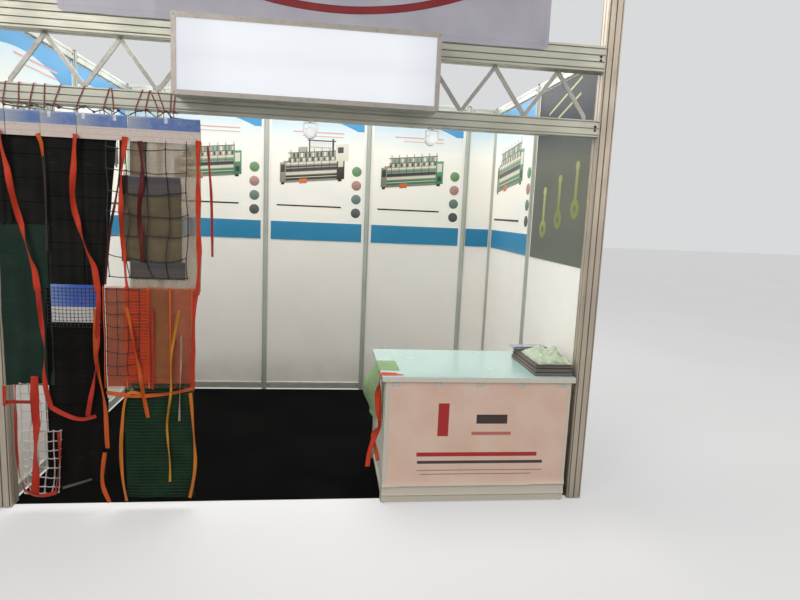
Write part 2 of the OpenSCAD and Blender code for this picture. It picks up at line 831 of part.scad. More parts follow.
module spot_yoke_middle() { spot_yoke(spot_x1); }
module spot_yoke_right() { spot_yoke(spot_x2); }

// A deep can with a rounded back, open towards +Y, on two tilt pins
module spot_head(x) {
    front = head_l - head_back;
    color([0.93, 0.93, 0.92]) translate([x, spot_y, tilt_z]) {
        rotate([-90, 0, 0]) rotate_extrude() polygon([
            [0, -head_back], [head_r * 0.55, -head_back], [head_r * 0.85, -head_back + 8], [head_r, -head_back + 20],
            [head_r, front], [head_r - 2, front], [head_r - 2, 6], [head_r * 0.6, -8], [0, -8]]);
        for (s = [0, 1]) mirror([s, 0, 0])
            translate([head_r - 1, 0, 0]) rotate([0, 90, 0]) cylinder(r = pin_r, h = yoke_in + yoke_t + 2 - head_r);
    }
}

module spot_head_middle() { spot_head(spot_x1); }
module spot_head_right() { spot_head(spot_x2); }

// A lamp with its neck seated in the can's back
module spot_lamp(x) {
    color([1.0, 0.97, 0.88]) translate([x, spot_y, tilt_z]) rotate([-90, 0, 0])
        rotate_extrude() polygon([[0, -8 + fit], [7, -8 + fit], [7, 4], [lamp_r, 24], [lamp_r, 28], [0, 33]]);
}

module spot_lamp_middle() { spot_lamp(spot_x1); }
module spot_lamp_right() { spot_lamp(spot_x2); }

// Samples on the left half of the lower chord

// Plan of a cloth with vertical folds: width w, count of folds, drawn round y_fold
module folded_plan(w, folds) {
    steps = folds * 8;
    line = [for (i = [0 : steps]) [w * i / steps, fold_a * sin(360 * folds * i / steps)]];
    polygon(concat(
        [for (p = line) [p[0], p[1] - cloth_t / 2]],
        [for (i = [steps : -1 : 0]) [line[i][0], line[i][1] + cloth_t / 2]]));
}

module hung_cloth(x0, x1, z0, z1, folds) {
    translate([sample_x + x0, y_fold, z0]) linear_extrude(z1 - z0) folded_plan(x1 - x0, folds);
}

module sample_cards() {
    color([0.20, 0.36, 0.62]) {
        for (c = upper_cards) upright(y_card, card_t)
            translate([sample_x + c[0], card_z - card_h]) square([c[1] - c[0], card_h]);
        upright(y_card, card_t)
            translate([sample_x + low_card[0], low_row_z + overlap - low_card_h])
                square([low_card[1] - low_card[0], low_card_h]);
    }
}

// Loops of cord round the lower chord, each with an end down to its card
module card_cords() {
    ring_w = post_w + 2 * soft_gap;
    ring_h = chord_low_h + 2 * soft_gap;
    tail_z = cloth_top + soft_gap;
    color([0.62, 0.22, 0.20]) for (x = cords_x)
        translate([sample_x + x, 0, 0]) beam_x(-cord_t / 2, cord_t / 2, y_post, chord_low_z + chord_low_h / 2) {
            difference() {
                square([ring_w + 2 * cord_t, ring_h + 2 * cord_t], center = true);
                square([ring_w, ring_h], center = true);
            }
            translate([-ring_w / 2 - cord_t, tail_z - chord_low_z - chord_low_h / 2])
                square([cord_t, chord_low_z + chord_low_h / 2 - tail_z]);
        }
}

// Black lacing in one zigzag before the cords
module lacing_cord() {
    step = 52;
    count = 15;
    z0 = card_z + 6;
    z1 = chord_low_z - 8;
    w = 3;
    mids = [for (i = [0 : count]) [sample_x + 80 + i * step, i % 2 == 0 ? z0 : z1]];
    color([0.05, 0.05, 0.05]) upright(y_soft - cord_t - soft_gap - w, w)
        polygon(concat([for (p = mids) [p[0], p[1] - w / 2]],
                       [for (i = [count : -1 : 0]) [mids[i][0], mids[i][1] + w / 2]]));
}

// White clips over the cards' upper edges
module card_hooks() {
    w = 14;
    wall = 1.6;
    color([0.93, 0.94, 0.95]) for (x = hooks_x)
        translate([sample_x + x - w / 2, y_card, card_z]) rotate([90, 0, 90]) linear_extrude(w) difference() {
            translate([-wall - soft_gap, -26]) square([card_t + 2 * (wall + soft_gap), 26 + soft_gap + wall]);
            translate([-soft_gap, -30]) square([card_t + 2 * soft_gap, 30 + soft_gap]);
            translate([card_t + soft_gap - 0.1, -30]) square([wall + 1, 30 - 11]);
        }
}

module cloth_black() {
    color([0.07, 0.07, 0.07]) {
        hung_cloth(upper_cards[0][0], upper_cards[0][1] - 4, green_z1 + overlap, cloth_top, 2);
        hung_cloth(upper_cards[1][0] + 2, upper_cards[1][1] - 2, green_z1 + overlap, cloth_top, 4);
        hung_cloth(upper_cards[2][0] + 2, upper_cards[2][1] - 4, low_row_z, cloth_top, 4);
        hung_cloth(upper_cards[3][0] + 4, upper_cards[3][1] - 6, low_row_z, cloth_top, 6);
    }
}

module cloth_grey() {
    color([0.36, 0.34, 0.31])
        hung_cloth(upper_cards[4][0] + 2, upper_cards[4][1] - 2, low_row_z, cloth_top, 9);
}

// A flat net: outline w by h with rows of square meshes inside a plain rim
module net_sheet(w, h, cols, rows, rim, bar) {
    cell_w = (w - 2 * rim + bar) / cols;
    cell_h = (h - 2 * rim + bar) / rows;
    difference() {
        square([w, h]);
        for (i = [0 : cols - 1], j = [0 : rows - 1])
            translate([rim + i * cell_w, rim + j * cell_h]) square([cell_w - bar, cell_h - bar]);
    }
}

// A net of diamond meshes inside a plain rim
module diamond_net(w, h, cols, rows, rim, bar) {
    cell_w = (w - 2 * rim) / cols;
    cell_h = (h - 2 * rim) / rows;
    difference() {
        square([w, h]);
        for (i = [0 : cols - 1], j = [0 : rows - 1])
            translate([rim + (i + 0.5) * cell_w, rim + (j + 0.5) * cell_h])
                polygon([[-cell_w / 2 + bar, 0], [0, -cell_h / 2 + bar], [cell_w / 2 - bar, 0], [0, cell_h / 2 - bar]]);
    }
}

module net_black() {
    w = upper_cards[4][1] - upper_cards[4][0] - 46;
    z1 = card_z - 36;
    z0 = low_row_z + 130;
    color([0.05, 0.05, 0.05]) upright(y_net, net_t)
        translate([sample_x + upper_cards[4][0] + 10, z0]) diamond_net(w, z1 - z0, 6, 12, 8, 3);
}

module cloth_green() {
    color([0.07, 0.20, 0.15]) hung_cloth(6, 204, green_z0, green_z1 + overlap - soft_gap, 5);
}

module cloth_low() {
    low_z = 500;
    hem_z = 140;
    color([0.08, 0.075, 0.07]) {
        hung_cloth(low_card[0] - 28, low_card[1] + 6, low_z + 60, low_row_z - soft_gap, 6);
        hung_cloth(low_card[0] - 50, low_card[1] + 26, hem_z, low_z + 60 - soft_gap, 8);
    }
}

module mesh_orange() {
    w = 440;
    h = orange_h;
    x0 = sample_x + 468;
    color([0.78, 0.22, 0.10]) upright(y_card, card_t)
        translate([x0, low_row_z + overlap - h]) net_sheet(w, h, 8, 14, 30, 8);
}

module mesh_green() {
    w = 336;
    z0 = 54;
    z1 = low_row_z + overlap - orange_h + 30;
    color([0.10, 0.30, 0.18]) upright(y_card + card_t + soft_gap, net_t)
        translate([sample_x + 560, z0]) net_sheet(w, z1 - z0, 3, 28, 22, 6);
}

// The white net: a wide foot below a narrower head that hangs from the green cloth
module net_white() {
    foot_w = 200;
    foot_z = 80;
    head_w = 130;
    head_z = 420;
    rim = 14;
    bar = 5;
    color([0.90, 0.88, 0.86]) upright(y_low_net, net_t) translate([sample_x + 70, 0]) {
        translate([0, foot_z]) net_sheet(foot_w, head_z - foot_z, 4, 7, rim, bar);
        translate([0, head_z - rim]) net_sheet(head_w, green_z0 + 20 - head_z + rim, 3, 5, rim, bar);
    }
}

// A ribbon that follows points of x from the left post and z, just before the piece whose front is at y
module ribbon(points, y, w = ribbon_w) {
    last = len(points) - 1;
    upright(y - soft_gap - ribbon_t, ribbon_t) polygon(concat(
        [for (p = points) [sample_x + p[0] - w / 2, p[1]]],
        [for (i = [last : -1 : 0]) [sample_x + points[i][0] + w / 2, points[i][1]]]));
}

module ribbons() {
    top = card_z - card_h + ribbon_w;
    color([0.85, 0.22, 0.10]) {
        ribbon([[60, top], [110, top - 310], [178, top - 620]], y_card);
        ribbon([[390, top], [378, top - 108], [446, top - 610]], y_card);
        ribbon([[596, top], [582, top - 304], [596, top - 620]], y_card);
        ribbon([[917, top], [919, top - 310], [918, top - 624]], y_card);
        ribbon([[926, top - 34], [962, top - 310], [971, top - 573]], y_card - soft_gap - ribbon_t, 9);
        ribbon([[217, 932], [217, 760], [234, 564]], y_crest);
        ribbon([[445, 932], [452, 760], [438, 564]], y_crest);
        ribbon([[490, 950], [506, 560], [508, 339]], y_card, 24);
        ribbon([[152, 690], [160, 400], [166, 64]], y_low_net, 40);
    }
}

// Samples and print on the counter

module along_counter(y, length) {
    translate([0, y + length, 0]) rotate([90, 0, 0]) linear_extrude(length) children();
}

// A cloth over the counter's left edge, a heap of netting and a folded bag on the sample books
module counter_cloth() {
    reach = 110;
    drop = 300;
    flare = 20;
    x = counter_x0 - top_over - soft_gap;
    z = counter_h + soft_gap;
    t = cloth_t;
    color([0.55, 0.72, 0.50]) {
        along_counter(counter_y0 + 120, 210)
            polygon([[x - t, z + t], [x + reach, z + t], [x + reach, z], [x, z], [x, z - drop],
                     [x - t - flare, z - drop + 2 * flare]]);
        along_counter(books_y0 + 25, 295) translate([books_x1 - heap_w, books_top + soft_gap])
            polygon([for (p = [[0, 0], [1, 0], [1, 0.45], [0.72, 0.85], [0.45, 1], [0.2, 0.6]])
                [p[0] * heap_w, p[1] * heap_h]]);
        along_counter(books_y0 + 330, bag[1]) translate([books_x1 - bag[0], books_top + soft_gap])
            polygon([[0, 0], [bag[0], 0], [bag[0], bag[2] * 0.7], [bag[0] * 0.5, bag[2] * 0.6], [0, bag[2]]]);
    }
}

module counter_ribbons() {
    reach = 90;
    drop = 430;
    step = [30, 36, 50];
    x = counter_x0 - top_over - soft_gap;
    z = counter_h + soft_gap;
    t = ribbon_t;
    color([0.88, 0.25, 0.08]) for (i = [0, 1]) {
        inner = x + reach - i * step[0];
        foot = z - drop - i * step[2];
        along_counter(counter_y0 + 4 + i * step[1], ribbon_w - 2)
            polygon([[x - t, z + t], [inner, z + t], [inner, z], [x, z], [x, foot], [x - t, foot]]);
    }
}

// Three sample books in a stack, each a little smaller than the one below
module catalogues() {
    color([0.62, 0.66, 0.66]) for (i = [0 : 2])
        translate([books_x1 - book[0], books_y0 + i * 5, books_z + i * (book[2] + fit)])
            cube([book[0] - i * 4, book[1] - i * 10, book[2]]);
}

post_left();
post_right();
post_caps();
upper_chord();
lower_chord();
lattice_rods();
header_rail();
header_banner();
header_arc();
sign_case();
sign_frame();
sign_face();
sign_tubes();
sign_brackets();
wall_posts();
back_rails();
side_rails();
back_panels();
side_panels();
poster_boards();
print_blue();
print_machines();
print_discs();
poster_dark();
print_fittings();
carpet();
counter_posts();
counter_feet();
counter_rails();
counter_top();
counter_panels();
counter_shelves();
counter_tracks();
counter_door_left();
counter_door_right();
counter_lock();
counter_banner();
spot_bases();
spot_yoke_middle();
spot_yoke_right();
spot_head_middle();
spot_head_right();
spot_lamp_middle();
spot_lamp_right();
sample_cards();
card_cords();
lacing_cord();
card_hooks();
cloth_black();
cloth_grey();
net_black();
cloth_green();
cloth_low();
mesh_orange();
mesh_green();
net_white();
ribbons();
counter_cloth();
counter_ribbons();
catalogues();
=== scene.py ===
"""Looks of an exhibition booth hung with net samples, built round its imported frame.

Everything is in metres. Left and right are those of a viewer who stands before the booth and looks along +Y.
"""

import logging
import math
from collections.abc import Callable, Sequence
from dataclasses import dataclass, field, replace
from enum import Enum
from functools import cache

import bpy
from mathutils import Matrix, Vector, noise


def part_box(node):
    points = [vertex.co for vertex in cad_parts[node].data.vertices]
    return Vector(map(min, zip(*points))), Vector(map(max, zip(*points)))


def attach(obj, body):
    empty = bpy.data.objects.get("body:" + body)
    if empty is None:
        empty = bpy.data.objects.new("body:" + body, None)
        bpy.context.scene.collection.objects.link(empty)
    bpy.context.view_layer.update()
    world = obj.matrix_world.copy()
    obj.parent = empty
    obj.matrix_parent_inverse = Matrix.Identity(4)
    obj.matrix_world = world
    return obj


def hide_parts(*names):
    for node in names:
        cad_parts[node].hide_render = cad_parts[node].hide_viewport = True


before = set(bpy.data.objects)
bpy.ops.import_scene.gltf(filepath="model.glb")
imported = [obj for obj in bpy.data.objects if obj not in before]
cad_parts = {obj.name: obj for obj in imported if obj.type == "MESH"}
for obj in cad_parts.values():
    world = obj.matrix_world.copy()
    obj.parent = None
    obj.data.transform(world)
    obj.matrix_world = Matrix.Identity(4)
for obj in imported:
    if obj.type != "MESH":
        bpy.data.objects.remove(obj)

LOG = logging.getLogger("booth")
ROOT = "booth"

Point = tuple[float, float, float]
Colour = tuple[float, float, float, float]
Shape = Callable[[float, float], Point]


class Side(Enum):
    """The way in which a flat picture looks out of its wall."""

    FRONT = 0.0
    FROM_LEFT = 90.0
    FROM_RIGHT = -90.0


class Held(Enum):
    """How a sheet of cloth is held, in the words that the frame knows."""

    DRAPED = "draped"
    HUNG = "hung"
    GATHERED = "gathered"
    LAID = "laid"
    STRETCHED = "stretched"
    FOLDED = "folded"


# Work on meshes


def clear_selection() -> None:
    """Deselects everything, so that an operator acts on the new piece alone."""
    active = bpy.context.view_layer.objects.active
    if active is not None and active.mode != "OBJECT":
        bpy.ops.object.mode_set(mode="OBJECT")
    bpy.ops.object.select_all(action="DESELECT")


def take(*pieces: bpy.types.Object) -> bpy.types.Object:
    """Selects pieces, makes the first one active and returns it."""
    clear_selection()
    for piece in pieces:
        piece.select_set(True)
    bpy.context.view_layer.objects.active = pieces[0]
    return pieces[0]


def settle(piece: bpy.types.Object) -> bpy.types.Object:
    """Puts a piece's place, turn and scale into its mesh.

    Args:
        piece: The piece, anywhere in the scene.

    Returns:
        The same piece with its object at the origin.
    """
    take(piece)
    bpy.ops.object.transform_apply(location=True, rotation=True, scale=True)
    return piece


def apply_modifier(piece: bpy.types.Object, kind: str, **values: object) -> None:
    """Adds one modifier to a piece and applies it.

    Args:
        piece: The piece to work on.
        kind: Blender's name of the modifier.
        **values: The modifier's settings.
    """
    take(piece)
    modifier = piece.modifiers.new(kind.title(), kind)
    for key, value in values.items():
        setattr(modifier, key, value)
    bpy.ops.object.modifier_apply(modifier=modifier.name)


def smooth(piece: bpy.types.Object, degrees: float = 35.0) -> bpy.types.Object:
    """Shades a piece smooth but for its sharper edges, and returns it."""
    take(piece)
    bpy.ops.object.shade_smooth_by_angle(angle=math.radians(degrees))
    return piece


def join(name: str, pieces: Sequence[bpy.types.Object]) -> bpy.types.Object:
    """Joins pieces into one and names it.

    Args:
        name: The joined piece's name.
        pieces: At least one piece.

    Returns:
        The joined piece, at the origin.
    """
    whole = take(*pieces)
    if len(pieces) > 1:
        bpy.ops.object.join()
    whole.name = name
    return settle(whole)


def own_copy(piece: bpy.types.Object, name: str, place: Matrix) -> bpy.types.Object:
    """Copies a piece with its own mesh to another place.

    Args:
        piece: The piece to copy.
        name: The copy's name.
        place: Moves the copy from where the piece is.

    Returns:
        The copy, its place in its mesh.
    """
    twin = piece.copy()
    twin.data = piece.data.copy()
    twin.name = name
    bpy.context.scene.collection.objects.link(twin)
    twin.data.transform(place)
    return twin


def repeat(name: str, first: bpy.types.Object, moves: Sequence[Matrix | Point]) -> bpy.types.Object:
    """Copies a piece to many places and joins the copies.

    Args:
        name: The joined piece's name.
        first: The piece, modelled at the origin; it is taken away.
        moves: A place, or a whole move, for each copy.

    Returns:
        The joined copies.
    """
    copies = [own_copy(first, f"{name}_{i}", move if isinstance(move, Matrix) else Matrix.Translation(move))
              for i, move in enumerate(moves)]
    bpy.data.objects.remove(first)
    return join(name, copies)


def add_block(name: str, low: Point, high: Point, bevel: float = 0.0008,
              segments: int = 2) -> bpy.types.Object:
    """Models a block between two corners with rounded edges.

    Args:
        name: The piece's name.
        low: Its lowest corner.
        high: Its highest corner.
        bevel: How much the edges are rounded.
        segments: The faces over each rounded edge.

    Returns:
        The new piece.
    """
    clear_selection()
    middle = [(a + b) / 2 for a, b in zip(low, high)]
    size = [b - a for a, b in zip(low, high)]
    bpy.ops.mesh.primitive_cube_add(size=1.0, location=middle, scale=size)
    piece = settle(bpy.context.active_object)
    piece.name = name
    bpy.ops.object.mode_set(mode="EDIT")
    bpy.ops.mesh.select_all(action="SELECT")
    bpy.ops.mesh.bevel(offset=bevel, segments=segments, affect="EDGES")
    bpy.ops.object.mode_set(mode="OBJECT")
    return smooth(piece)


def add_button(name: str, middle: Point, radius: float, depth: float, socket: float = 0.0,
               sides: int = 16, turn: Point = (math.pi / 2, 0.0, 0.0)) -> bpy.types.Object:
    """Models a round button with a rounded rim, and a six-sided socket where it has one.

    Args:
        name: The piece's name.
        middle: The middle of the button.
        radius: Its radius.
        depth: Its whole height.
        socket: The radius of the sunk socket, or 0.
        sides: Faces round the rim.
        turn: The turn that lays its axis down.

    Returns:
        The new piece.
    """
    clear_selection()
    bpy.ops.mesh.primitive_cylinder_add(vertices=sides, radius=radius, depth=depth)
    piece = bpy.context.active_object
    piece.name = name
    bpy.ops.object.mode_set(mode="EDIT")
    bpy.ops.mesh.select_all(action="SELECT")
    bpy.ops.mesh.bevel(offset=min(radius, depth) * 0.16, segments=2, affect="EDGES")
    bpy.ops.mesh.select_all(action="DESELECT")
    bpy.ops.object.mode_set(mode="OBJECT")
    if socket:
        caps = [face for face in piece.data.polygons if face.normal.z > 0.9]
        max(caps, key=lambda face: face.area).select = True
        bpy.ops.object.mode_set(mode="EDIT")
        bpy.ops.mesh.inset(thickness=radius * 0.84 - socket, depth=0.0)
        bpy.ops.mesh.inset(thickness=radius * 0.02, depth=-depth * 0.45)
        bpy.ops.object.mode_set(mode="OBJECT")
    piece.rotation_euler = turn
    piece.location = middle
    return smooth(settle(piece), 30.0)


def add_cords(name: str, runs: Sequence[Sequence[Point]], radius: float, sides: int = 2,
              soft: bool = True) -> bpy.types.Object:
    """Models round cords along routes of points.

    Args:
        name: The piece's name.
        runs: The points of each cord.
        radius: The cords' radius.
        sides: Blender's bevel resolution round the cord.
        soft: True for a smooth curve through the route, False for straight runs.

    Returns:
        One mesh with all the cords.
    """
    clear_selection()
    curve = bpy.data.curves.new(name, "CURVE")
    curve.dimensions = "3D"
    curve.bevel_depth = radius
    curve.bevel_resolution = sides
    curve.resolution_u = 4
    curve.use_fill_caps = True
    for run in runs:
        spline = curve.splines.new("NURBS" if soft else "POLY")
        spline.points.add(len(run) - 1)
        for knot, place in zip(spline.points, run):
            knot.co = (*place, 1.0)
        if soft:
            spline.order_u = min(4, len(run))
            spline.use_endpoint_u = True
    piece = bpy.data.objects.new(name, curve)
    bpy.context.scene.collection.objects.link(piece)
    take(piece)
    bpy.ops.object.convert(target="MESH")
    return smooth(bpy.context.active_object, 60.0)


def add_knots(name: str, places: Sequence[Point], size: Point) -> bpy.types.Object:
    """Models one knot and copies it to many places.

    Args:
        name: The joined knots' name.
        places: Where the knots sit.
        size: The half sizes of a knot.

    Returns:
        All the knots as one piece.
    """
    clear_selection()
    bpy.ops.mesh.primitive_uv_sphere_add(segments=8, ring_count=5, radius=1.0, scale=size)
    first = settle(bpy.context.active_object)
    for vertex in first.data.vertices:
        vertex.co *= 1.0 + 0.18 * math.sin(5.0 * math.atan2(vertex.co.z, vertex.co.x))
    return repeat(name, smooth(first, 70.0), places)


def add_sheet(name: str, columns: int, rows: int, shape: Shape, size: tuple[float, float],
              thickness: float = 0.0) -> bpy.types.Object:
    """Models a sheet of cloth from a grid, its UV map in metres of the flat cloth.

    Args:
        name: The piece's name.
        columns: Faces across.
        rows: Faces from foot to head.
        shape: Gives the place of the point at (across, up), both from 0 to 1.
        size: The flat width and length.
        thickness: The cloth's thickness, or 0 for one layer.

    Returns:
        The new piece.
    """
    clear_selection()
    bpy.ops.mesh.primitive_grid_add(x_subdivisions=columns, y_subdivisions=rows, size=2.0)
    piece = bpy.context.active_object
    piece.name = name
    for corner in piece.data.uv_layers.active.data:
        corner.uv = (corner.uv[0] * size[0], corner.uv[1] * size[1])
    for vertex in piece.data.vertices:
        vertex.co = shape((vertex.co.x + 1.0) / 2.0, (vertex.co.y + 1.0) / 2.0)
    if thickness:
        apply_modifier(piece, "SOLIDIFY", thickness=thickness, offset=0.0, use_even_offset=False)
    return smooth(piece, 60.0)


def ripple(place: Sequence[float], scale: float, seed: float = 0.0) -> float:
    """Gives a smooth value between about -1 and 1 that changes over space."""
    return noise.noise(Vector(place) * scale + Vector((seed, seed * 1.7, -seed)))


@dataclass
class Route:
    """A smooth line through points, read by the share of its length."""

    points: Sequence[Sequence[float]]
    lengths: list[float] = field(init=False)

    def __post_init__(self) -> None:
        """Measures the stretches between the points."""
        self.lengths = [math.dist(a, b) for a, b in zip(self.points, self.points[1:])]

    @property
    def whole(self) -> float:
        """The length of the line."""
        return sum(self.lengths)

    def at(self, share: float) -> Vector:
        """Gives the place at a share of the length, from 0 to 1."""
        left = min(max(share, 0.0), 1.0) * self.whole
        i = 0
        while i < len(self.lengths) - 1 and left > self.lengths[i]:
            left -= self.lengths[i]
            i += 1
        t = min(left / self.lengths[i], 1.0)
        ends = [Vector(self.points[min(max(k, 0), len(self.points) - 1)]) for k in range(i - 1, i + 3)]
        before, a, b, after = ends
        return (a * 2.0 + (b - before) * t + (before * 2.0 - a * 5.0 + b * 4.0 - after) * t * t
                + (a * 3.0 - before - b * 3.0 + after) * t ** 3) / 2.0


# Node trees


class Board:
    """A node tree with short calls that place nodes and join them."""

    def __init__(self, tree: bpy.types.NodeTree) -> None:
        """Takes a node tree to work on."""
        self.tree = tree

    def put(self, kind: str, sockets: dict[str, object] | None = None, **settings: object) -> bpy.types.Node:
        """Places a node.

        Args:
            kind: Blender's name of the node.
            sockets: Values, or outputs to join, by the name of the input.
            **settings: The node's own settings.

        Returns:
            The node.
        """
        node = self.tree.nodes.new(kind)
        for key, value in settings.items():
            setattr(node, key, value)
        for key, value in (sockets or {}).items():
            self.feed(node.inputs[key], value)
        return node

    def feed(self, entry: bpy.types.NodeSocket, value: object) -> None:
        """Joins an output to an input, or sets the input's own value."""
        if isinstance(value, bpy.types.NodeSocket):
            self.tree.links.new(value, entry)
        else:
            entry.default_value = value

    def math(self, operation: str, first: object, second: object = 0.0,
             clamp: bool = False) -> bpy.types.NodeSocket:
        """Places a sum of two values and returns its output."""
        node = self.put("ShaderNodeMath", operation=operation, use_clamp=clamp)
        self.feed(node.inputs[0], first)
        self.feed(node.inputs[1], second)
        return node.outputs[0]

    def times(self, first: object, second: object) -> bpy.types.NodeSocket:
        """Multiplies two values."""
        return self.math("MULTIPLY", first, second)

    def plus(self, first: object, second: object, clamp: bool = False) -> bpy.types.NodeSocket:
        """Adds two values."""
        return self.math("ADD", first, second, clamp)

    def minus(self, first: object, second: object, clamp: bool = False) -> bpy.types.NodeSocket:
        """Takes the second value from the first."""
        return self.math("SUBTRACT", first, second, clamp)

    def stretch(self, where: object, scale: object) -> bpy.types.NodeSocket:
        """Multiplies a place by a number for each axis."""
        node = self.put("ShaderNodeVectorMath", operation="MULTIPLY")
        self.feed(node.inputs[0], where)
        self.feed(node.inputs[1], scale)
        return node.outputs[0]

    def blend(self, mask: object, first: object, second: object) -> bpy.types.NodeSocket:
        """Mixes two colours by a mask and returns the colour."""
        node = self.put("ShaderNodeMix", data_type="RGBA", blend_type="MIX")
        self.feed(node.inputs[0], mask)
        self.feed(node.inputs[6], first)
        self.feed(node.inputs[7], second)
        return node.outputs[2]

    def span(self, value: object, low: float, high: float, to_low: float = 0.0,
             to_high: float = 1.0) -> bpy.types.NodeSocket:
        """Carries a value from one range to another and holds it there."""
        node = self.put("ShaderNodeMapRange", clamp=True)
        for entry, number in zip(node.inputs, (value, low, high, to_low, to_high)):
            self.feed(entry, number)
        return node.outputs[0]

    def noise(self, where: object, scale: float, detail: float = 3.0) -> bpy.types.NodeSocket:
        """Places a noise and returns its value."""
        return self.put("ShaderNodeTexNoise", {"Vector": where, "Scale": scale, "Detail": detail}).outputs[0]

    def effect(self, group: bpy.types.NodeTree, sockets: dict[str, object]) -> bpy.types.Node:
        """Places a shared effect with its values."""
        return self.put("ShaderNodeGroup", sockets, node_tree=group)

    def place(self) -> bpy.types.NodeSocket:
        """Returns the place on the object."""
        return self.put("ShaderNodeTexCoord").outputs["Object"]

    def cloth_place(self) -> bpy.types.NodeSocket:
        """Returns the place on the flat cloth."""
        return self.put("ShaderNodeTexCoord").outputs["UV"]

    def axes(self, where: object) -> list[bpy.types.NodeSocket]:
        """Splits a place into its three numbers."""
        return list(self.put("ShaderNodeSeparateXYZ", {"Vector": where}).outputs)


def start_group(name: str, entries: Sequence[tuple[str, str, object]],
                exits: Sequence[str]) -> tuple[Board, bpy.types.Node, bpy.types.Node]:
    """Starts a shared effect.

    Args:
        name: The group's name.
        entries: Name, kind and usual value of each input.
        exits: The names of the values it puts out.

    Returns:
        The board of the group, its input node and its output node.
    """
    tree = bpy.data.node_groups.new(name, "ShaderNodeTree")
    for key, kind, value in entries:
        entry = tree.interface.new_socket(name=key, in_out="INPUT", socket_type=kind)
        if value is not None:
            entry.default_value = value
    for key in exits:
        tree.interface.new_socket(name=key, in_out="OUTPUT", socket_type="NodeSocketFloat")
    board = Board(tree)
    return board, tree.nodes.new("NodeGroupInput"), tree.nodes.new("NodeGroupOutput")


FLOAT = "NodeSocketFloat"
VECTOR = "NodeSocketVector"


@cache
def soiling_group() -> bpy.types.NodeTree:
    """Builds the effect of handling: soft blotches, fine specks and more dust near the floor."""
    board, given, out = start_group(
        "Soiling", [("Place", VECTOR, None), ("Scale", FLOAT, 6.0), ("Dust height", FLOAT, 0.25)],
        ["Blotch", "Speck", "Dust"])
    scale = given.outputs["Scale"]
    broad = board.put("ShaderNodeTexNoise", {"Vector": given.outputs["Place"], "Scale": scale, "Detail": 5.0})
    fine = board.put("ShaderNodeTexNoise", {"Vector": given.outputs["Place"], "Detail": 2.0,
                                            "Scale": board.times(scale, 30.0)})
    board.feed(out.inputs["Blotch"], board.span(broad.outputs[0], 0.38, 0.72))
    board.feed(out.inputs["Speck"], board.span(fine.outputs[0], 0.62, 0.75))
    height = board.math("DIVIDE", board.axes(given.outputs["Place"])[2], given.outputs["Dust height"])
    near = board.minus(1.0, height, clamp=True)
    board.feed(out.inputs["Dust"], board.times(near, board.span(broad.outputs[0], 0.3, 0.6, 0.4, 1.0)))
    return board.tree


@cache
def grain_group() -> bpy.types.NodeTree:
    """Builds the effect of drawn or brushed metal: fine streaks along one way."""
    board, given, out = start_group(
        "Drawn grain", [("Place", VECTOR, None), ("Stretch", VECTOR, (400.0, 400.0, 6.0))],
        ["Streak", "Height"])
    streak = board.noise(board.stretch(given.outputs["Place"], given.outputs["Stretch"]), 1.0, 3.0)
    board.feed(out.inputs["Streak"], board.span(streak, 0.3, 0.7))
    board.feed(out.inputs["Height"], streak)
    return board.tree


@cache
def weave_group() -> bpy.types.NodeTree:
    """Builds the effect of a knitted or woven cloth: threads two ways at a real pitch."""
    board, given, out = start_group(
        "Weave", [("Cloth", VECTOR, None), ("Pitch", FLOAT, 0.0016)], ["Height", "Thread"])
    across, along, _ = board.axes(given.outputs["Cloth"])
    turns = board.math("DIVIDE", math.tau, given.outputs["Pitch"])
    warp = board.math("ABSOLUTE", board.math("SINE", board.times(across, turns)))
    weft = board.math("ABSOLUTE", board.math("SINE", board.times(along, turns)))
    height = board.times(warp, weft)
    board.feed(out.inputs["Height"], height)
    board.feed(out.inputs["Thread"], board.span(height, 0.05, 0.6))
    return board.tree


@cache
def open_net_group() -> bpy.types.NodeTree:
    """Builds the effect of an open net: strands at two pitches, with holes between them."""
    board, given, out = start_group(
        "Open net", [("Cloth", VECTOR, None), ("Pitch across", FLOAT, 0.008), ("Pitch along", FLOAT, 0.008),
                     ("Strand", FLOAT, 0.4), ("Waver", FLOAT, 0.15)], ["Strand", "Height"])
    across, along, _ = board.axes(given.outputs["Cloth"])
    swing = board.noise(given.outputs["Cloth"], 40.0, 2.0)
    swing = board.times(board.minus(swing, 0.5), given.outputs["Waver"])
    heights = []
    for line, pitch in ((across, "Pitch across"), (along, "Pitch along")):
        turned = board.plus(board.math("DIVIDE", line, given.outputs[pitch]), swing)
        near = board.math("PINGPONG", turned, 0.5)
        heights.append(board.minus(0.5, near))
    edge = board.minus(0.5, board.times(given.outputs["Strand"], 0.5))
    top = board.math("MAXIMUM", heights[0], heights[1])
    strand = board.math("MULTIPLY", board.minus(top, edge), 40.0, clamp=True)
    board.feed(out.inputs["Strand"], strand)
    board.feed(out.inputs["Height"], board.times(strand, top))
    return board.tree


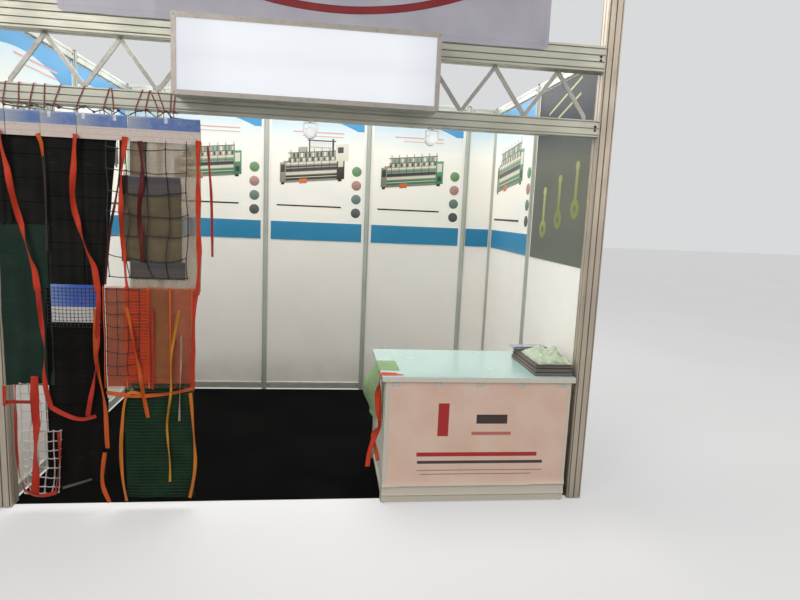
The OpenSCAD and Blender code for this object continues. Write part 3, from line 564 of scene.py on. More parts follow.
@cache
def border_group() -> bpy.types.NodeTree:
    """Builds the effect of a border: how far a point lies from the nearest edge of the flat cloth."""
    board, given, out = start_group(
        "Border", [("Cloth", VECTOR, None), ("Width", FLOAT, 1.0), ("Length", FLOAT, 1.0),
                   ("Hem", FLOAT, 0.02)], ["Hem", "Stitch"])
    across, along, _ = board.axes(given.outputs["Cloth"])
    gaps = []
    for line, size in ((across, "Width"), (along, "Length")):
        other = board.minus(given.outputs[size], line)
        gaps.append(board.math("MINIMUM", line, other))
    gap = board.math("MINIMUM", gaps[0], gaps[1])
    share = board.math("DIVIDE", gap, given.outputs["Hem"])
    board.feed(out.inputs["Hem"], board.math("LESS_THAN", share, 1.0))
    off_seam = board.math("ABSOLUTE", board.minus(share, 0.86))
    seam = board.minus(1.0, board.times(off_seam, 14.0), clamp=True)
    dash = board.math("SINE", board.times(board.plus(across, along), math.tau / 0.006))
    board.feed(out.inputs["Stitch"], board.times(seam, board.span(dash, -0.2, 0.3)))
    return board.tree


@cache
def field_group() -> bpy.types.NodeTree:
    """Builds the effect of a printed field: a rectangle with crisp or soft edges."""
    board, given, out = start_group(
        "Printed field", [("Place", VECTOR, None), ("Middle across", FLOAT, 0.5), ("Middle up", FLOAT, 0.5),
                          ("Half width", FLOAT, 0.1), ("Half height", FLOAT, 0.1),
                          ("Softness", FLOAT, 0.001)],
        ["Inside"])
    across, up, _ = board.axes(given.outputs["Place"])
    sides = []
    for line, middle, half in ((across, "Middle across", "Half width"), (up, "Middle up", "Half height")):
        away = board.math("ABSOLUTE", board.minus(line, given.outputs[middle]))
        over = board.minus(given.outputs[half], away)
        sides.append(board.math("DIVIDE", over, given.outputs["Softness"], clamp=True))
    board.feed(out.inputs["Inside"], board.times(sides[0], sides[1]))
    return board.tree


# Finishes


def tint(red: int, green: int, blue: int) -> Colour:
    """Turns a colour as a screen shows it, 0 to 255, into a colour of light."""
    parts = [value / 255.0 for value in (red, green, blue)]
    linear = [c / 12.92 if c <= 0.04045 else ((c + 0.055) / 1.055) ** 2.4 for c in parts]
    return (*linear, 1.0)


def start_material(name: str, **constants: object) -> tuple[bpy.types.Material, Board, bpy.types.Node]:
    """Starts a material with one main shader.

    Args:
        name: The material's name.
        **constants: The shader's own values, with _ for a space in the name of the socket.

    Returns:
        The material, its board and its shader.
    """
    material = bpy.data.materials.new(name)
    material.use_nodes = True
    board = Board(material.node_tree)
    shader = material.node_tree.nodes["Principled BSDF"]
    for key, value in constants.items():
        shader.inputs[key.replace("_", " ")].default_value = value
    return material, board, shader


def raise_bumps(board: Board, shader: bpy.types.Node, height: object, distance: float,
                strength: float = 1.0) -> None:
    """Leads a height to a shader's normal."""
    bump = board.put("ShaderNodeBump", {"Height": height, "Distance": distance, "Strength": strength})
    board.feed(shader.inputs["Normal"], bump.outputs[0])


@dataclass(frozen=True)
class Finish:
    """A finish that a piece can be given."""

    name: str

    def build(self) -> bpy.types.Material:
        """Builds the material of this finish."""
        raise NotImplementedError


@cache
def material_of(finish: Finish) -> bpy.types.Material:
    """Builds a finish once and returns its material."""
    return finish.build()


@dataclass(frozen=True)
class MetalFinish(Finish):
    """Drawn, anodised or plated metal, with streaks along one way and handling marks."""

    colour: Colour = tint(176, 175, 164)
    streak: Colour = tint(150, 149, 140)
    metallic: float = 0.6
    roughness: float = 0.36
    stretch: Point = (500.0, 500.0, 4.0)

    def build(self) -> bpy.types.Material:
        """Builds the metal from drawn grain, blotches and dust."""
        material, board, shader = start_material(self.name, Metallic=self.metallic)
        place = board.place()
        grain = board.effect(grain_group(), {"Place": place, "Stretch": self.stretch})
        soil = board.effect(soiling_group(), {"Place": place, "Scale": 5.0})
        streaks = board.times(grain.outputs["Streak"], 0.55)
        colour = board.blend(streaks, self.colour, self.streak)
        worn = board.times(soil.outputs["Blotch"], 0.22)
        colour = board.blend(worn, colour, tint(128, 124, 112))
        dusty = board.times(soil.outputs["Dust"], 0.35)
        board.feed(shader.inputs["Base Color"], board.blend(dusty, colour, tint(150, 142, 128)))
        rough = board.times(soil.outputs["Blotch"], 0.16)
        rough = board.plus(rough, board.times(grain.outputs["Streak"], 0.10))
        board.feed(shader.inputs["Roughness"], board.plus(rough, self.roughness - 0.1))
        raise_bumps(board, shader, grain.outputs["Height"], 0.00012, 0.35)
        return material


@dataclass(frozen=True)
class PanelFinish(Finish):
    """Laminate, moulded plastic or paint: a fine skin texture, smudges, scuffs and dust near the floor."""

    colour: Colour = tint(240, 238, 226)
    stain: Colour = tint(214, 210, 194)
    roughness: float = 0.42
    metallic: float = 0.0
    coat: float = 0.0
    skin: float = 900.0
    relief: float = 0.00006
    blotch: float = 0.28
    edge_y: float = -9.0
    edge: Colour = tint(232, 224, 206)
    # A glow above 0 is painted light: the surface shines white though it is no lamp.
    glow: float = 0.0

    def build(self) -> bpy.types.Material:
        """Builds the skin from blotches, specks and dust, with a painted glow where one is given."""
        material, board, shader = start_material(self.name, Metallic=self.metallic, Coat_Weight=self.coat,
                                                 Emission_Strength=self.glow)
        place = board.place()
        soil = board.effect(soiling_group(), {"Place": place, "Scale": 3.0, "Dust height": 0.35})
        colour = board.blend(board.times(soil.outputs["Blotch"], self.blotch), self.colour, self.stain)
        colour = board.blend(board.times(soil.outputs["Speck"], 0.12), colour, self.stain)
        banding = board.math("LESS_THAN", board.axes(place)[1], self.edge_y)
        colour = board.blend(banding, colour, self.edge)
        dusty = board.times(soil.outputs["Dust"], 0.4)
        board.feed(shader.inputs["Base Color"], board.blend(dusty, colour, tint(150, 140, 124)))
        rough = board.times(soil.outputs["Blotch"], 0.18)
        board.feed(shader.inputs["Roughness"], board.plus(rough, self.roughness))
        raise_bumps(board, shader, board.noise(place, self.skin, 2.0), self.relief, 0.5)
        return material


@dataclass(frozen=True)
class ClothFinish(Finish):
    """Knitted or woven cloth with threads at their real pitch, slubs, fading and a soft sheen."""

    colour: Colour = tint(32, 32, 31)
    faded: Colour = tint(56, 55, 52)
    pitch: float = 0.003
    sheen: float = 0.06
    relief: float = 0.0006
    see_through: float = 0.0
    band: float = 0.0
    # The colour of the seams, also used for the painted shade between the threads.
    seam_and_gap_shade_colour: Colour = tint(3, 3, 3)
    slit_colour: Colour = tint(74, 72, 68)

    def build(self) -> bpy.types.Material:
        """Builds the cloth from its weave, with painted shade between the threads and seams across where it
        has them.
        """
        material, board, shader = start_material(self.name, Sheen_Weight=self.sheen, Roughness=0.9,
                                                 Specular_IOR_Level=0.08)
        cloth = board.cloth_place()
        place = board.place()
        weave = board.effect(weave_group(), {"Cloth": cloth, "Pitch": self.pitch})
        slubs = board.noise(board.stretch(cloth, (9.0, 160.0, 1.0)), 1.0, 3.0)
        fade = board.span(board.noise(place, 7.0, 4.0), 0.35, 0.75)
        thread = board.minus(1.0, weave.outputs["Thread"])
        colour = board.blend(board.times(fade, 0.55), self.colour, self.faded)
        colour = board.blend(board.times(board.span(slubs, 0.55, 0.8), 0.6), colour, self.faded)
        # The low points between the threads are darkened towards the seam colour: painted shade between the
        # threads.
        colour = board.blend(board.times(thread, 0.45), colour, self.seam_and_gap_shade_colour)
        height = board.plus(weave.outputs["Height"], board.times(slubs, 0.8))
        if self.band:
            slits = board.span(board.noise(board.stretch(cloth, (14.0, 220.0, 1.0)), 1.0, 2.0), 0.64, 0.72)
            patch = board.span(board.noise(cloth, 5.0, 2.0), 0.48, 0.66)
            colour = board.blend(board.times(slits, patch), colour, self.slit_colour)
            along = board.axes(cloth)[1]
            near = board.math("PINGPONG", along, self.band / 2.0)
            seam = board.math("LESS_THAN", near, 0.0022)
            colour = board.blend(board.times(seam, 0.8), colour, self.seam_and_gap_shade_colour)
            height = board.plus(height, board.times(seam, 1.6))
        board.feed(shader.inputs["Base Color"], colour)
        if self.see_through:
            thin = board.times(thread, self.see_through * 1.3)
            board.feed(shader.inputs["Alpha"], board.minus(1.0 - self.see_through * 0.4, thin))
        raise_bumps(board, shader, height, self.relief, 0.8)
        return material


@dataclass(frozen=True)
class NetFinish(Finish):
    """An open net of thin strands, with real holes between them."""

    colour: Colour = tint(200, 66, 30)
    faded: Colour = tint(150, 44, 22)
    across: float = 0.008
    along: float = 0.008
    strand: float = 0.42
    waver: float = 0.2
    strap: float = 0.0
    lines: float = 0.0

    def build(self) -> bpy.types.Material:
        """Builds the strands and the holes, and denser cross lines where the net has them."""
        material, board, shader = start_material(self.name, Sheen_Weight=0.05, Roughness=0.7,
                                                 Specular_IOR_Level=0.15)
        cloth = board.cloth_place()
        net = board.effect(open_net_group(), {"Cloth": cloth, "Pitch across": self.across,
                                              "Pitch along": self.along, "Strand": self.strand,
                                              "Waver": self.waver})
        fade = board.span(board.noise(board.place(), 9.0, 4.0), 0.3, 0.7)
        solid = net.outputs["Strand"]
        if self.lines:
            near = board.math("PINGPONG", board.axes(cloth)[1], self.lines / 2.0)
            line = board.math("LESS_THAN", near, self.lines * 0.12)
            solid = board.math("MAXIMUM", solid, line)
            fade = board.math("MAXIMUM", fade, line)
        if self.strap:
            near = board.math("PINGPONG", board.axes(cloth)[0], self.strap / 2.0)
            rail = board.math("LESS_THAN", near, 0.004)
            solid = board.math("MAXIMUM", solid, rail)
            fade = board.math("MAXIMUM", fade, rail)
        board.feed(shader.inputs["Base Color"], board.blend(fade, self.faded, self.colour))
        board.feed(shader.inputs["Alpha"], solid)
        raise_bumps(board, shader, net.outputs["Height"], 0.0015, 0.8)
        return material


@dataclass(frozen=True)
class TapeFinish(Finish):
    """Woven tape: fine cross ribs and a raised selvedge, with painted shade in the rib troughs, along both
    edges and in random patches for its twists.
    """

    colour: Colour = tint(228, 66, 26)
    dark: Colour = tint(160, 36, 16)
    width: float = 0.028

    def build(self) -> bpy.types.Material:
        """Builds the tape from its ribs and its two edges, with painted shade."""
        material, board, shader = start_material(self.name, Sheen_Weight=0.05, Roughness=0.5,
                                                 Specular_IOR_Level=0.25)
        cloth = board.cloth_place()
        across, along, _ = board.axes(cloth)
        rib = board.math("SINE", board.times(along, math.tau / 0.0035))
        other = board.minus(self.width, across)
        edge = board.math("LESS_THAN", board.math("MINIMUM", across, other), self.width * 0.12)
        # Random darker patches: painted shade of the tape's twists.
        fade = board.span(board.noise(board.place(), 12.0, 4.0), 0.3, 0.75)
        colour = board.blend(board.times(fade, 0.55), self.colour, self.dark)
        # Darker rib troughs: painted shade between the ribs.
        low = board.span(rib, -1.0, 0.2, 0.55, 0.0)
        colour = board.blend(low, colour, self.dark)
        # Darker edges: painted shade along both selvedges.
        board.feed(shader.inputs["Base Color"], board.blend(board.times(edge, 0.45), colour, self.dark))
        raise_bumps(board, shader, board.plus(rib, board.times(edge, 1.5)), 0.0004, 0.7)
        return material


@dataclass(frozen=True)
class CordFinish(Finish):
    """A twisted or plaited cord with slanting strands."""

    colour: Colour = tint(150, 44, 38)
    dark: Colour = tint(84, 20, 18)
    lay: float = 0.006

    def build(self) -> bpy.types.Material:
        """Builds the slanting strands, with painted shade in the grooves between them."""
        material, board, shader = start_material(self.name, Sheen_Weight=0.3, Roughness=0.75)
        place = board.place()
        x, y, z = board.axes(place)
        slant = board.plus(board.plus(x, y), z)
        twist = board.math("SINE", board.times(slant, math.tau / self.lay))
        hairs = board.noise(place, 600.0, 2.0)
        # The grooves of the twist are painted dark: painted shade between the strands.
        mask = board.times(board.span(twist, -0.6, 0.8), board.span(hairs, 0.2, 0.7, 0.6, 1.0))
        board.feed(shader.inputs["Base Color"], board.blend(mask, self.dark, self.colour))
        raise_bumps(board, shader, board.plus(twist, hairs), 0.0008, 0.8)
        return material


@dataclass(frozen=True)
class PrintFinish(Finish):
    """Ink on a satin sheet: two colours from foot to head, a broad sweep of light and print grain."""

    foot: Colour = tint(250, 246, 236)
    head: Colour = tint(236, 240, 240)
    low: float = 1.29
    high: float = 2.38
    sweep: float = 0.5
    grain: float = 0.16

    def build(self) -> bpy.types.Material:
        """Builds the ink from its height on the wall."""
        material, board, shader = start_material(self.name, Roughness=0.38, Specular_IOR_Level=0.25)
        place = board.place()
        height = board.axes(place)[2]
        broad = board.noise(place, 1.6, 2.0)
        swing = board.times(board.minus(broad, 0.5), self.sweep)
        share = board.plus(board.span(height, self.low, self.high), swing, clamp=True)
        colour = board.blend(share, self.foot, self.head)
        dots = board.span(board.noise(place, 700.0, 2.0), 0.4, 0.65, 0.0, self.grain)
        board.feed(shader.inputs["Base Color"], board.blend(dots, colour, tint(200, 196, 184)))
        wave = board.noise(place, 5.0, 2.0)
        raise_bumps(board, shader, wave, 0.002, 0.25)
        return material


@dataclass(frozen=True)
class FeltFinish(Finish):
    """Needle felt: short fibres, trodden patches and lint."""

    colour: Colour = tint(4, 5, 5)
    lint: Colour = tint(22, 23, 21)

    def build(self) -> bpy.types.Material:
        """Builds the felt from fibres and trodden patches."""
        material, board, shader = start_material(self.name, Sheen_Weight=0.01, Roughness=0.95,
                                                 Specular_IOR_Level=0.02)
        place = board.place()
        fibres = board.noise(place, 700.0, 4.0)
        trodden = board.span(board.noise(place, 2.2, 4.0), 0.4, 0.7)
        lint = board.span(board.noise(place, 140.0, 3.0), 0.66, 0.74)
        colour = board.blend(board.times(trodden, 0.3), self.colour, self.lint)
        colour = board.blend(board.times(lint, 0.5), colour, self.lint)
        board.feed(shader.inputs["Base Color"], colour)
        raise_bumps(board, shader, fibres, 0.0015, 0.8)
        return material


@dataclass(frozen=True)
class LitFaceFinish(Finish):
    """An opal face lit from behind by two tubes, a little dimmer towards its edges."""

    low: float = 2.037
    high: float = 2.391
    left: float = -0.63
    right: float = 0.59

    def build(self) -> bpy.types.Material:
        """Builds the glow from the distance to the tubes and the edges."""
        material, board, shader = start_material(self.name, Roughness=0.3, Emission_Strength=0.72)
        place = board.place()
        across, _, up = board.axes(place)
        share = board.span(up, self.low, self.high)
        tubes = board.math("SINE", board.times(share, math.tau))
        tubes = board.span(board.math("ABSOLUTE", tubes), 0.0, 1.0, 0.94, 1.0)
        side = board.math("MINIMUM", board.minus(across, self.left), board.minus(self.right, across))
        glow = board.times(tubes, board.span(side, 0.0, 0.22, 0.78, 1.0))
        cloudy = board.span(board.noise(place, 4.0, 2.0), 0.3, 0.7, 0.96, 1.0)
        glow = board.times(glow, cloudy)
        board.feed(shader.inputs["Emission Color"],
                   board.blend(glow, tint(120, 130, 150), tint(248, 251, 255)))
        board.feed(shader.inputs["Base Color"], board.blend(glow, tint(128, 132, 140), tint(150, 153, 158)))
        raise_bumps(board, shader, board.noise(place, 260.0, 2.0), 0.00008, 0.4)
        return material


@dataclass(frozen=True)
class ClearFinish(Finish):
    """Thin clear film or frosted glass, creased and a little milky."""

    colour: Colour = tint(236, 240, 244)
    body: float = 0.22
    scale: float = 30.0
    roughness: float = 0.12
    glow: float = 0.0

    def build(self) -> bpy.types.Material:
        """Builds the film, milkier along its creases."""
        material, board, shader = start_material(self.name, Coat_Weight=0.6, Roughness=self.roughness,
                                                 Emission_Strength=self.glow)
        place = board.place()
        crease = board.math("ABSOLUTE", board.minus(board.noise(place, self.scale, 3.0), 0.5))
        milky = board.span(crease, 0.0, 0.03, self.body * 1.6 + 0.06, self.body)
        board.feed(shader.inputs["Alpha"], milky)
        board.feed(shader.inputs["Base Color"], board.blend(crease, self.colour, tint(206, 216, 226)))
        raise_bumps(board, shader, crease, 0.004, 0.8)
        return material


@dataclass(frozen=True)
class CardFinish(Finish):
    """A printed header card: a deep field at its head that pales to the left, and a pale field below."""

    head: Colour = tint(54, 110, 188)
    foot: Colour = tint(234, 214, 200)
    wash: Colour = tint(172, 178, 196)
    height: float = 0.115
    fold: float = 0.5
    width: float = 0.15

    def build(self) -> bpy.types.Material:
        """Builds the two fields by the height on the card."""
        material, board, shader = start_material(self.name, Coat_Weight=0.35, Roughness=0.32)
        cloth = board.cloth_place()
        across, up, _ = board.axes(cloth)
        share = board.math("DIVIDE", up, self.height)
        pale = board.span(across, 0.004, self.width * 0.75, 0.95, 0.0)
        shade = board.span(board.noise(cloth, 14.0, 2.0), 0.45, 0.75, 0.0, 0.2)
        head = board.blend(board.math("MAXIMUM", pale, shade), self.head, self.wash)
        colour = board.blend(board.span(share, self.fold - 0.015, self.fold + 0.015), self.foot, head)
        line = board.math("LESS_THAN", board.math("PINGPONG", board.plus(share, 0.02), 0.11), 0.012)
        colour = board.blend(board.times(line, 0.25), colour, tint(120, 100, 96))
        specks = board.span(board.noise(cloth, 160.0, 1.0), 0.66, 0.72, 0.0, 0.3)
        board.feed(shader.inputs["Base Color"], board.blend(specks, colour, tint(150, 128, 122)))
        raise_bumps(board, shader, board.noise(cloth, 45.0, 2.0), 0.0008, 0.4)
        return material


@dataclass(frozen=True)
class Mark:
    """One plain printed shape on the banner: its middle, its half sizes and its ink."""

    across: float
    up: float
    half_width: float
    half_height: float
    ink: Colour


@dataclass(frozen=True)
class BannerFinish(Finish):
    """Coated banner cloth with a few plain printed bars, a sewn hem and painted fold shade."""

    width: float = 1.018
    height: float = 0.671
    # The default ground and shade are the counter banner's: their salmon is partly the banner's own pink and
    # partly a painted reflection of an orange floor.
    ground: Colour = tint(250, 220, 200)
    shade: Colour = tint(236, 184, 156)
    marks: tuple[Mark, ...] = ()
    hem: float = 0.022

    def build(self) -> bpy.types.Material:
        """Builds the ground with its painted fold shade, its bars and the stitched hem."""
        material, board, shader = start_material(self.name, Coat_Weight=0.35, Roughness=0.38,
                                                 Specular_IOR_Level=0.3)
        cloth = board.cloth_place()
        # Painted fold shade: a broad noise darkens the ground towards the shade colour in soft patches.
        folds = board.span(board.noise(cloth, 5.0, 3.0), 0.3, 0.7)
        colour = board.blend(board.times(folds, 0.5), self.ground, self.shade)
        for mark in self.marks:
            inside = board.effect(field_group(), {"Place": cloth, "Middle across": mark.across,
                                                  "Middle up": mark.up, "Half width": mark.half_width,
                                                  "Half height": mark.half_height})
            colour = board.blend(inside.outputs[0], colour, mark.ink)
        border = board.effect(border_group(), {"Cloth": cloth, "Width": self.width, "Length": self.height,
                                               "Hem": self.hem})
        colour = board.blend(board.times(border.outputs["Stitch"], 0.5), colour, tint(150, 140, 136))
        board.feed(shader.inputs["Base Color"], colour)
        scrim = board.effect(weave_group(), {"Cloth": cloth, "Pitch": 0.0022})
        relief = board.times(scrim.outputs["Height"], 0.25)
        relief = board.plus(relief, board.times(border.outputs["Hem"], 1.2))
        relief = board.minus(relief, border.outputs["Stitch"])
        raise_bumps(board, shader, relief, 0.0005, 0.7)
        return material


# Shared finishes of this booth

ALLOY = MetalFinish("front_profile_metal", tint(204, 191, 172), tint(170, 158, 142), 0.45, 0.38)
ALLOY_X = MetalFinish("girder_profile_metal", tint(202, 201, 185), tint(172, 170, 156), 0.45, 0.38,
                      (4.0, 500.0, 500.0))
WALL_ALLOY = MetalFinish("wall_profile_metal", tint(206, 211, 200), tint(186, 190, 180), 0.35, 0.4)
WALL_ALLOY_X = MetalFinish("wall_rail_metal", tint(206, 211, 200), tint(186, 190, 180), 0.35, 0.4,
                           (6.0, 6.0, 500.0))
ZINC = MetalFinish("zinc_flat_metal", tint(170, 166, 158), tint(140, 138, 132), 0.7, 0.4, (60.0, 60.0, 60.0))
BLACK_PLASTIC = PanelFinish("black_moulded_plastic", tint(34, 34, 36), tint(62, 60, 56), 0.5, relief=0.0001)
GREY_PLASTIC = PanelFinish("grey_moulded_plastic", tint(120, 121, 118), tint(92, 92, 90), 0.45)
LAMINATE = PanelFinish("wall_laminate", tint(250, 247, 240), tint(234, 231, 220))
RIBBON_TAPE = TapeFinish("red_woven_tape", tint(238, 78, 40), tint(182, 46, 24), 0.026)
ORANGE_TAPE = TapeFinish("orange_woven_tape", tint(236, 108, 36), tint(192, 72, 22), 0.022)


def add_ring(radius: float, thickness: float, segments: int, sides: int,
             spot: Point = (0.0, 0.0, 0.0)) -> bpy.types.Object:
    """Models a round ring whose axis runs along y."""
    clear_selection()
    bpy.ops.mesh.primitive_torus_add(major_radius=radius, minor_radius=thickness, major_segments=segments,
                                     minor_segments=sides, rotation=(math.pi / 2, 0.0, 0.0), location=spot)
    return settle(bpy.context.active_object)


def wear(piece: bpy.types.Object, finish: Finish) -> bpy.types.Object:
    """Gives a new piece one finish, and returns it."""
    piece.data.materials.clear()
    piece.data.materials.append(material_of(finish))
    return piece


def dress(finish: Finish, *nodes: str) -> None:
    """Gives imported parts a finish.

    Args:
        finish: The finish.
        *nodes: The parts' names.
    """
    for node in nodes:
        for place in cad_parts[node].material_slots:
            place.material = material_of(finish)
        LOG.info("part %s wears %s", node, finish.name)


def report(piece: bpy.types.Object, finish: Finish | None = None, body: str = ROOT,
           replaces: str | None = None) -> bpy.types.Object:
    """Dresses a new piece, lets it ride and reports it.

    Args:
        piece: The piece, at the origin.
        finish: Its finish, or None where it is dressed already.
        body: The body that it rides on.
        replaces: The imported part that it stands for.

    Returns:
        The piece.
    """
    if finish is not None:
        wear(piece, finish)
    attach(piece, body)
    if replaces:
        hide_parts(replaces)
    LOG.info("piece %s, %d faces", piece.name, len(piece.data.polygons))
    return piece


@dataclass
class Girder:
    """The two front posts and the girder between them, with its lattice flats."""

    face_y: float = -0.9765
    post_x: float = 1.5
    rod_front_y: float = -0.9415
    first_apex: float = 0.238
    pitch: float = 0.331
    apexes: int = 4
    chords: tuple[float, ...] = (1.983, 2.068, 2.308, 2.433)

    def build(self) -> None:
        """Dresses the posts and chords and adds their small parts."""
        dress(ALLOY, "post_left", "post_right")
        dress(ALLOY_X, "upper_chord", "lower_chord", "header_rail")
        dress(BLACK_PLASTIC, "post_caps")
        dress(ZINC, "lattice_rods")
        report(self.rivets(), ZINC)
        report(self.wedges(), BLACK_PLASTIC)

    def rivets(self) -> bpy.types.Object:
        """Models the rivets where the lattice flats meet the chords."""
        first = add_button("rivet", (0.0, 0.0, 0.0), 0.0055, 0.003, 0.0, 12)
        places = []
        for side in (-1.0, 1.0):
            for i in range(self.apexes):
                apex = self.first_apex + i * self.pitch
                places.append((side * apex, self.rod_front_y, self.chords[2] - 0.010))
                places.append((side * (apex - self.pitch / 2), self.rod_front_y, self.chords[1] + 0.010))
        return repeat("lattice_rivets", first, places)

    def wedges(self) -> bpy.types.Object:
        """Models the locks that hold the chords on the posts."""
        first = add_button("wedge", (0.0, 0.0, 0.0), 0.007, 0.002, 0.0032)
        places = []
        for side in (-1.0, 1.0):
            for low, high in (self.chords[:2], self.chords[2:]):
                middle = (low + high) / 2
                places.extend((side * (self.post_x - 0.062), self.face_y - 0.0004, middle + up)
                              for up in (-0.009, 0.009))
        return repeat("chord_locks", first, places)


@dataclass
class HeaderBanner:
    """The plain cloth over the entrance, with its sewn arc, eyelets and ties."""

    half_width: float = 1.155
    low: float = 2.392
    high: float = 3.010
    front_y: float = -0.9776
    corner: float = 0.020
    arc_x: float = 0.090
    arc_radius: float = 1.782
    arc_low: float = 2.480
    arc_width: float = 0.036
    arc_turns: tuple[float, float] = (-0.752, 0.632)
    flat: tuple[float, float] = (2.31, 0.618)
    cloth: BannerFinish = BannerFinish("header_cloth", *flat, tint(200, 197, 207), tint(168, 164, 178),
                                       (), 0.03)
    stripe: TapeFinish = TapeFinish("sewn_arc_cloth", tint(160, 52, 56), tint(124, 34, 40), 0.036)

    def build(self) -> None:
        """Builds the banner and what is sewn or tied to it."""
        banner = add_sheet("header_banner_cloth", 154, 42, self.banner_point, self.flat, 0.0012)
        arc = add_sheet("header_arc_stripe", 4, 200, self.arc_point, (self.arc_width, self.arc_length),
                        0.0005)
        eyelets = self.eyelets()
        ties = self.ties()
        report(banner, self.cloth, replaces="header_banner")
        report(arc, self.stripe, replaces="header_arc")
        report(eyelets, ZINC)
        report(ties, CordFinish("white_tie_cord", tint(226, 224, 218), tint(168, 164, 156)))

    @property
    def arc_centre(self) -> float:
        """The height of the arc's centre."""
        return self.arc_low + self.arc_width / 2 + self.arc_radius

    @property
    def arc_length(self) -> float:
        """The length of the sewn arc."""
        return (self.arc_turns[1] - self.arc_turns[0]) * self.arc_radius

    def wave(self, x: float, z: float) -> float:
        """Gives the cloth's small waves, which die out at its head."""
        slack = (self.high - z) / (self.high - self.low)
        return 0.0022 * slack * math.sin(9.0 * x + 2.0 * z) + 0.0012 * slack * ripple((x, 0.0, z), 3.0)

    def banner_point(self, across: float, up: float) -> Point:
        """Places a point of the banner."""
        z = self.low + up * (self.high - self.low)
        from_edge = min(z - self.low, self.high - z)
        inset = 0.0
        if from_edge < self.corner:
            inset = self.corner - math.sqrt(self.corner ** 2 - (self.corner - from_edge) ** 2)
        x = (2.0 * across - 1.0) * (self.half_width - inset)
        return (x, self.front_y - abs(self.wave(x, z)), z)

    def arc_point(self, across: float, up: float) -> Point:
        """Places a point of the sewn arc."""
        turn = self.arc_turns[0] + up * (self.arc_turns[1] - self.arc_turns[0])
        radius = self.arc_radius + (0.5 - across) * self.arc_width
        x = self.arc_x + radius * math.sin(turn)
        z = self.arc_centre - radius * math.cos(turn)
        return (x, self.front_y - abs(self.wave(x, z)) - 0.0011, z)

    def eyelet_places(self) -> list[float]:
        """Lists where the eyelets sit along the head."""
        return [-1.12 + i * 0.32 for i in range(8)]

    def eyelets(self) -> bpy.types.Object:
        """Models the metal eyelets along the head and at the lower corners."""
        first = add_ring(0.0095, 0.0028, 20, 8)
        for vertex in first.data.vertices:
            vertex.co.y *= 0.45
        smooth(first, 60.0)
        places = [(x, self.front_y - 0.0008, self.high - 0.022) for x in self.eyelet_places()]
        places.extend((side * (self.half_width - 0.03), self.front_y - 0.0012, self.low + 0.03)
                      for side in (-1.0, 1.0))
        return repeat("header_eyelets", first, places)

    def ties(self) -> bpy.types.Object:
        """Models the cords that tie the head to its rail."""
        runs = []
        for x in self.eyelet_places():
            front = self.front_y - 0.0032
            back = -0.9338
            top = self.high + 0.0022
            runs.append([(x, front, self.high - 0.024), (x, front, self.high - 0.008),
                         (x, front + 0.002, top),
                         (x, (front + back) / 2, top), (x, back, top), (x, back, self.high - 0.012),
                         (x + 0.004, back, self.high - 0.044), (x + 0.006, back + 0.002, self.high - 0.07)])
        return add_cords("header_ties", runs, 0.0016)


@dataclass
class LightBoxSign:
    """The lit box under the header, its face left bare."""

    left: float = -0.63
    right: float = 0.59
    low: float = 2.037
    high: float = 2.391
    frame_y: float = -1.1235

    def build(self) -> None:
        """Dresses the box and adds its screws."""
        case = PanelFinish("sign_case_paint", tint(182, 182, 176), tint(150, 150, 144), 0.38, 0.3)
        trim = MetalFinish("sign_frame_metal", tint(196, 188, 178), tint(168, 158, 150), 0.5, 0.36,
                           (30.0, 300.0, 30.0))
        dress(case, "sign_case")
        dress(trim, "sign_frame")
        dress(LitFaceFinish("lit_opal_face"), "sign_face")
        dress(ClearFinish("tube_glass", tint(248, 250, 252), 0.75, 14.0, 0.2), "sign_tubes")
        dress(ZINC, "sign_brackets")
        report(self.screws(), ZINC)

    def screws(self) -> bpy.types.Object:
        """Models the screws of the front frame."""
        first = add_button("screw", (0.0, 0.0, 0.0), 0.0042, 0.0022, 0.0018, 12)
        middle = (self.left + self.right) / 2
        places = [(x, self.frame_y - 0.0004, z) for z in (self.low + 0.011, self.high - 0.011)
                  for x in (self.left + 0.011, (self.left + middle) / 2, middle, (self.right + middle) / 2,
                            self.right - 0.011)]
        return repeat("sign_screws", first, places)


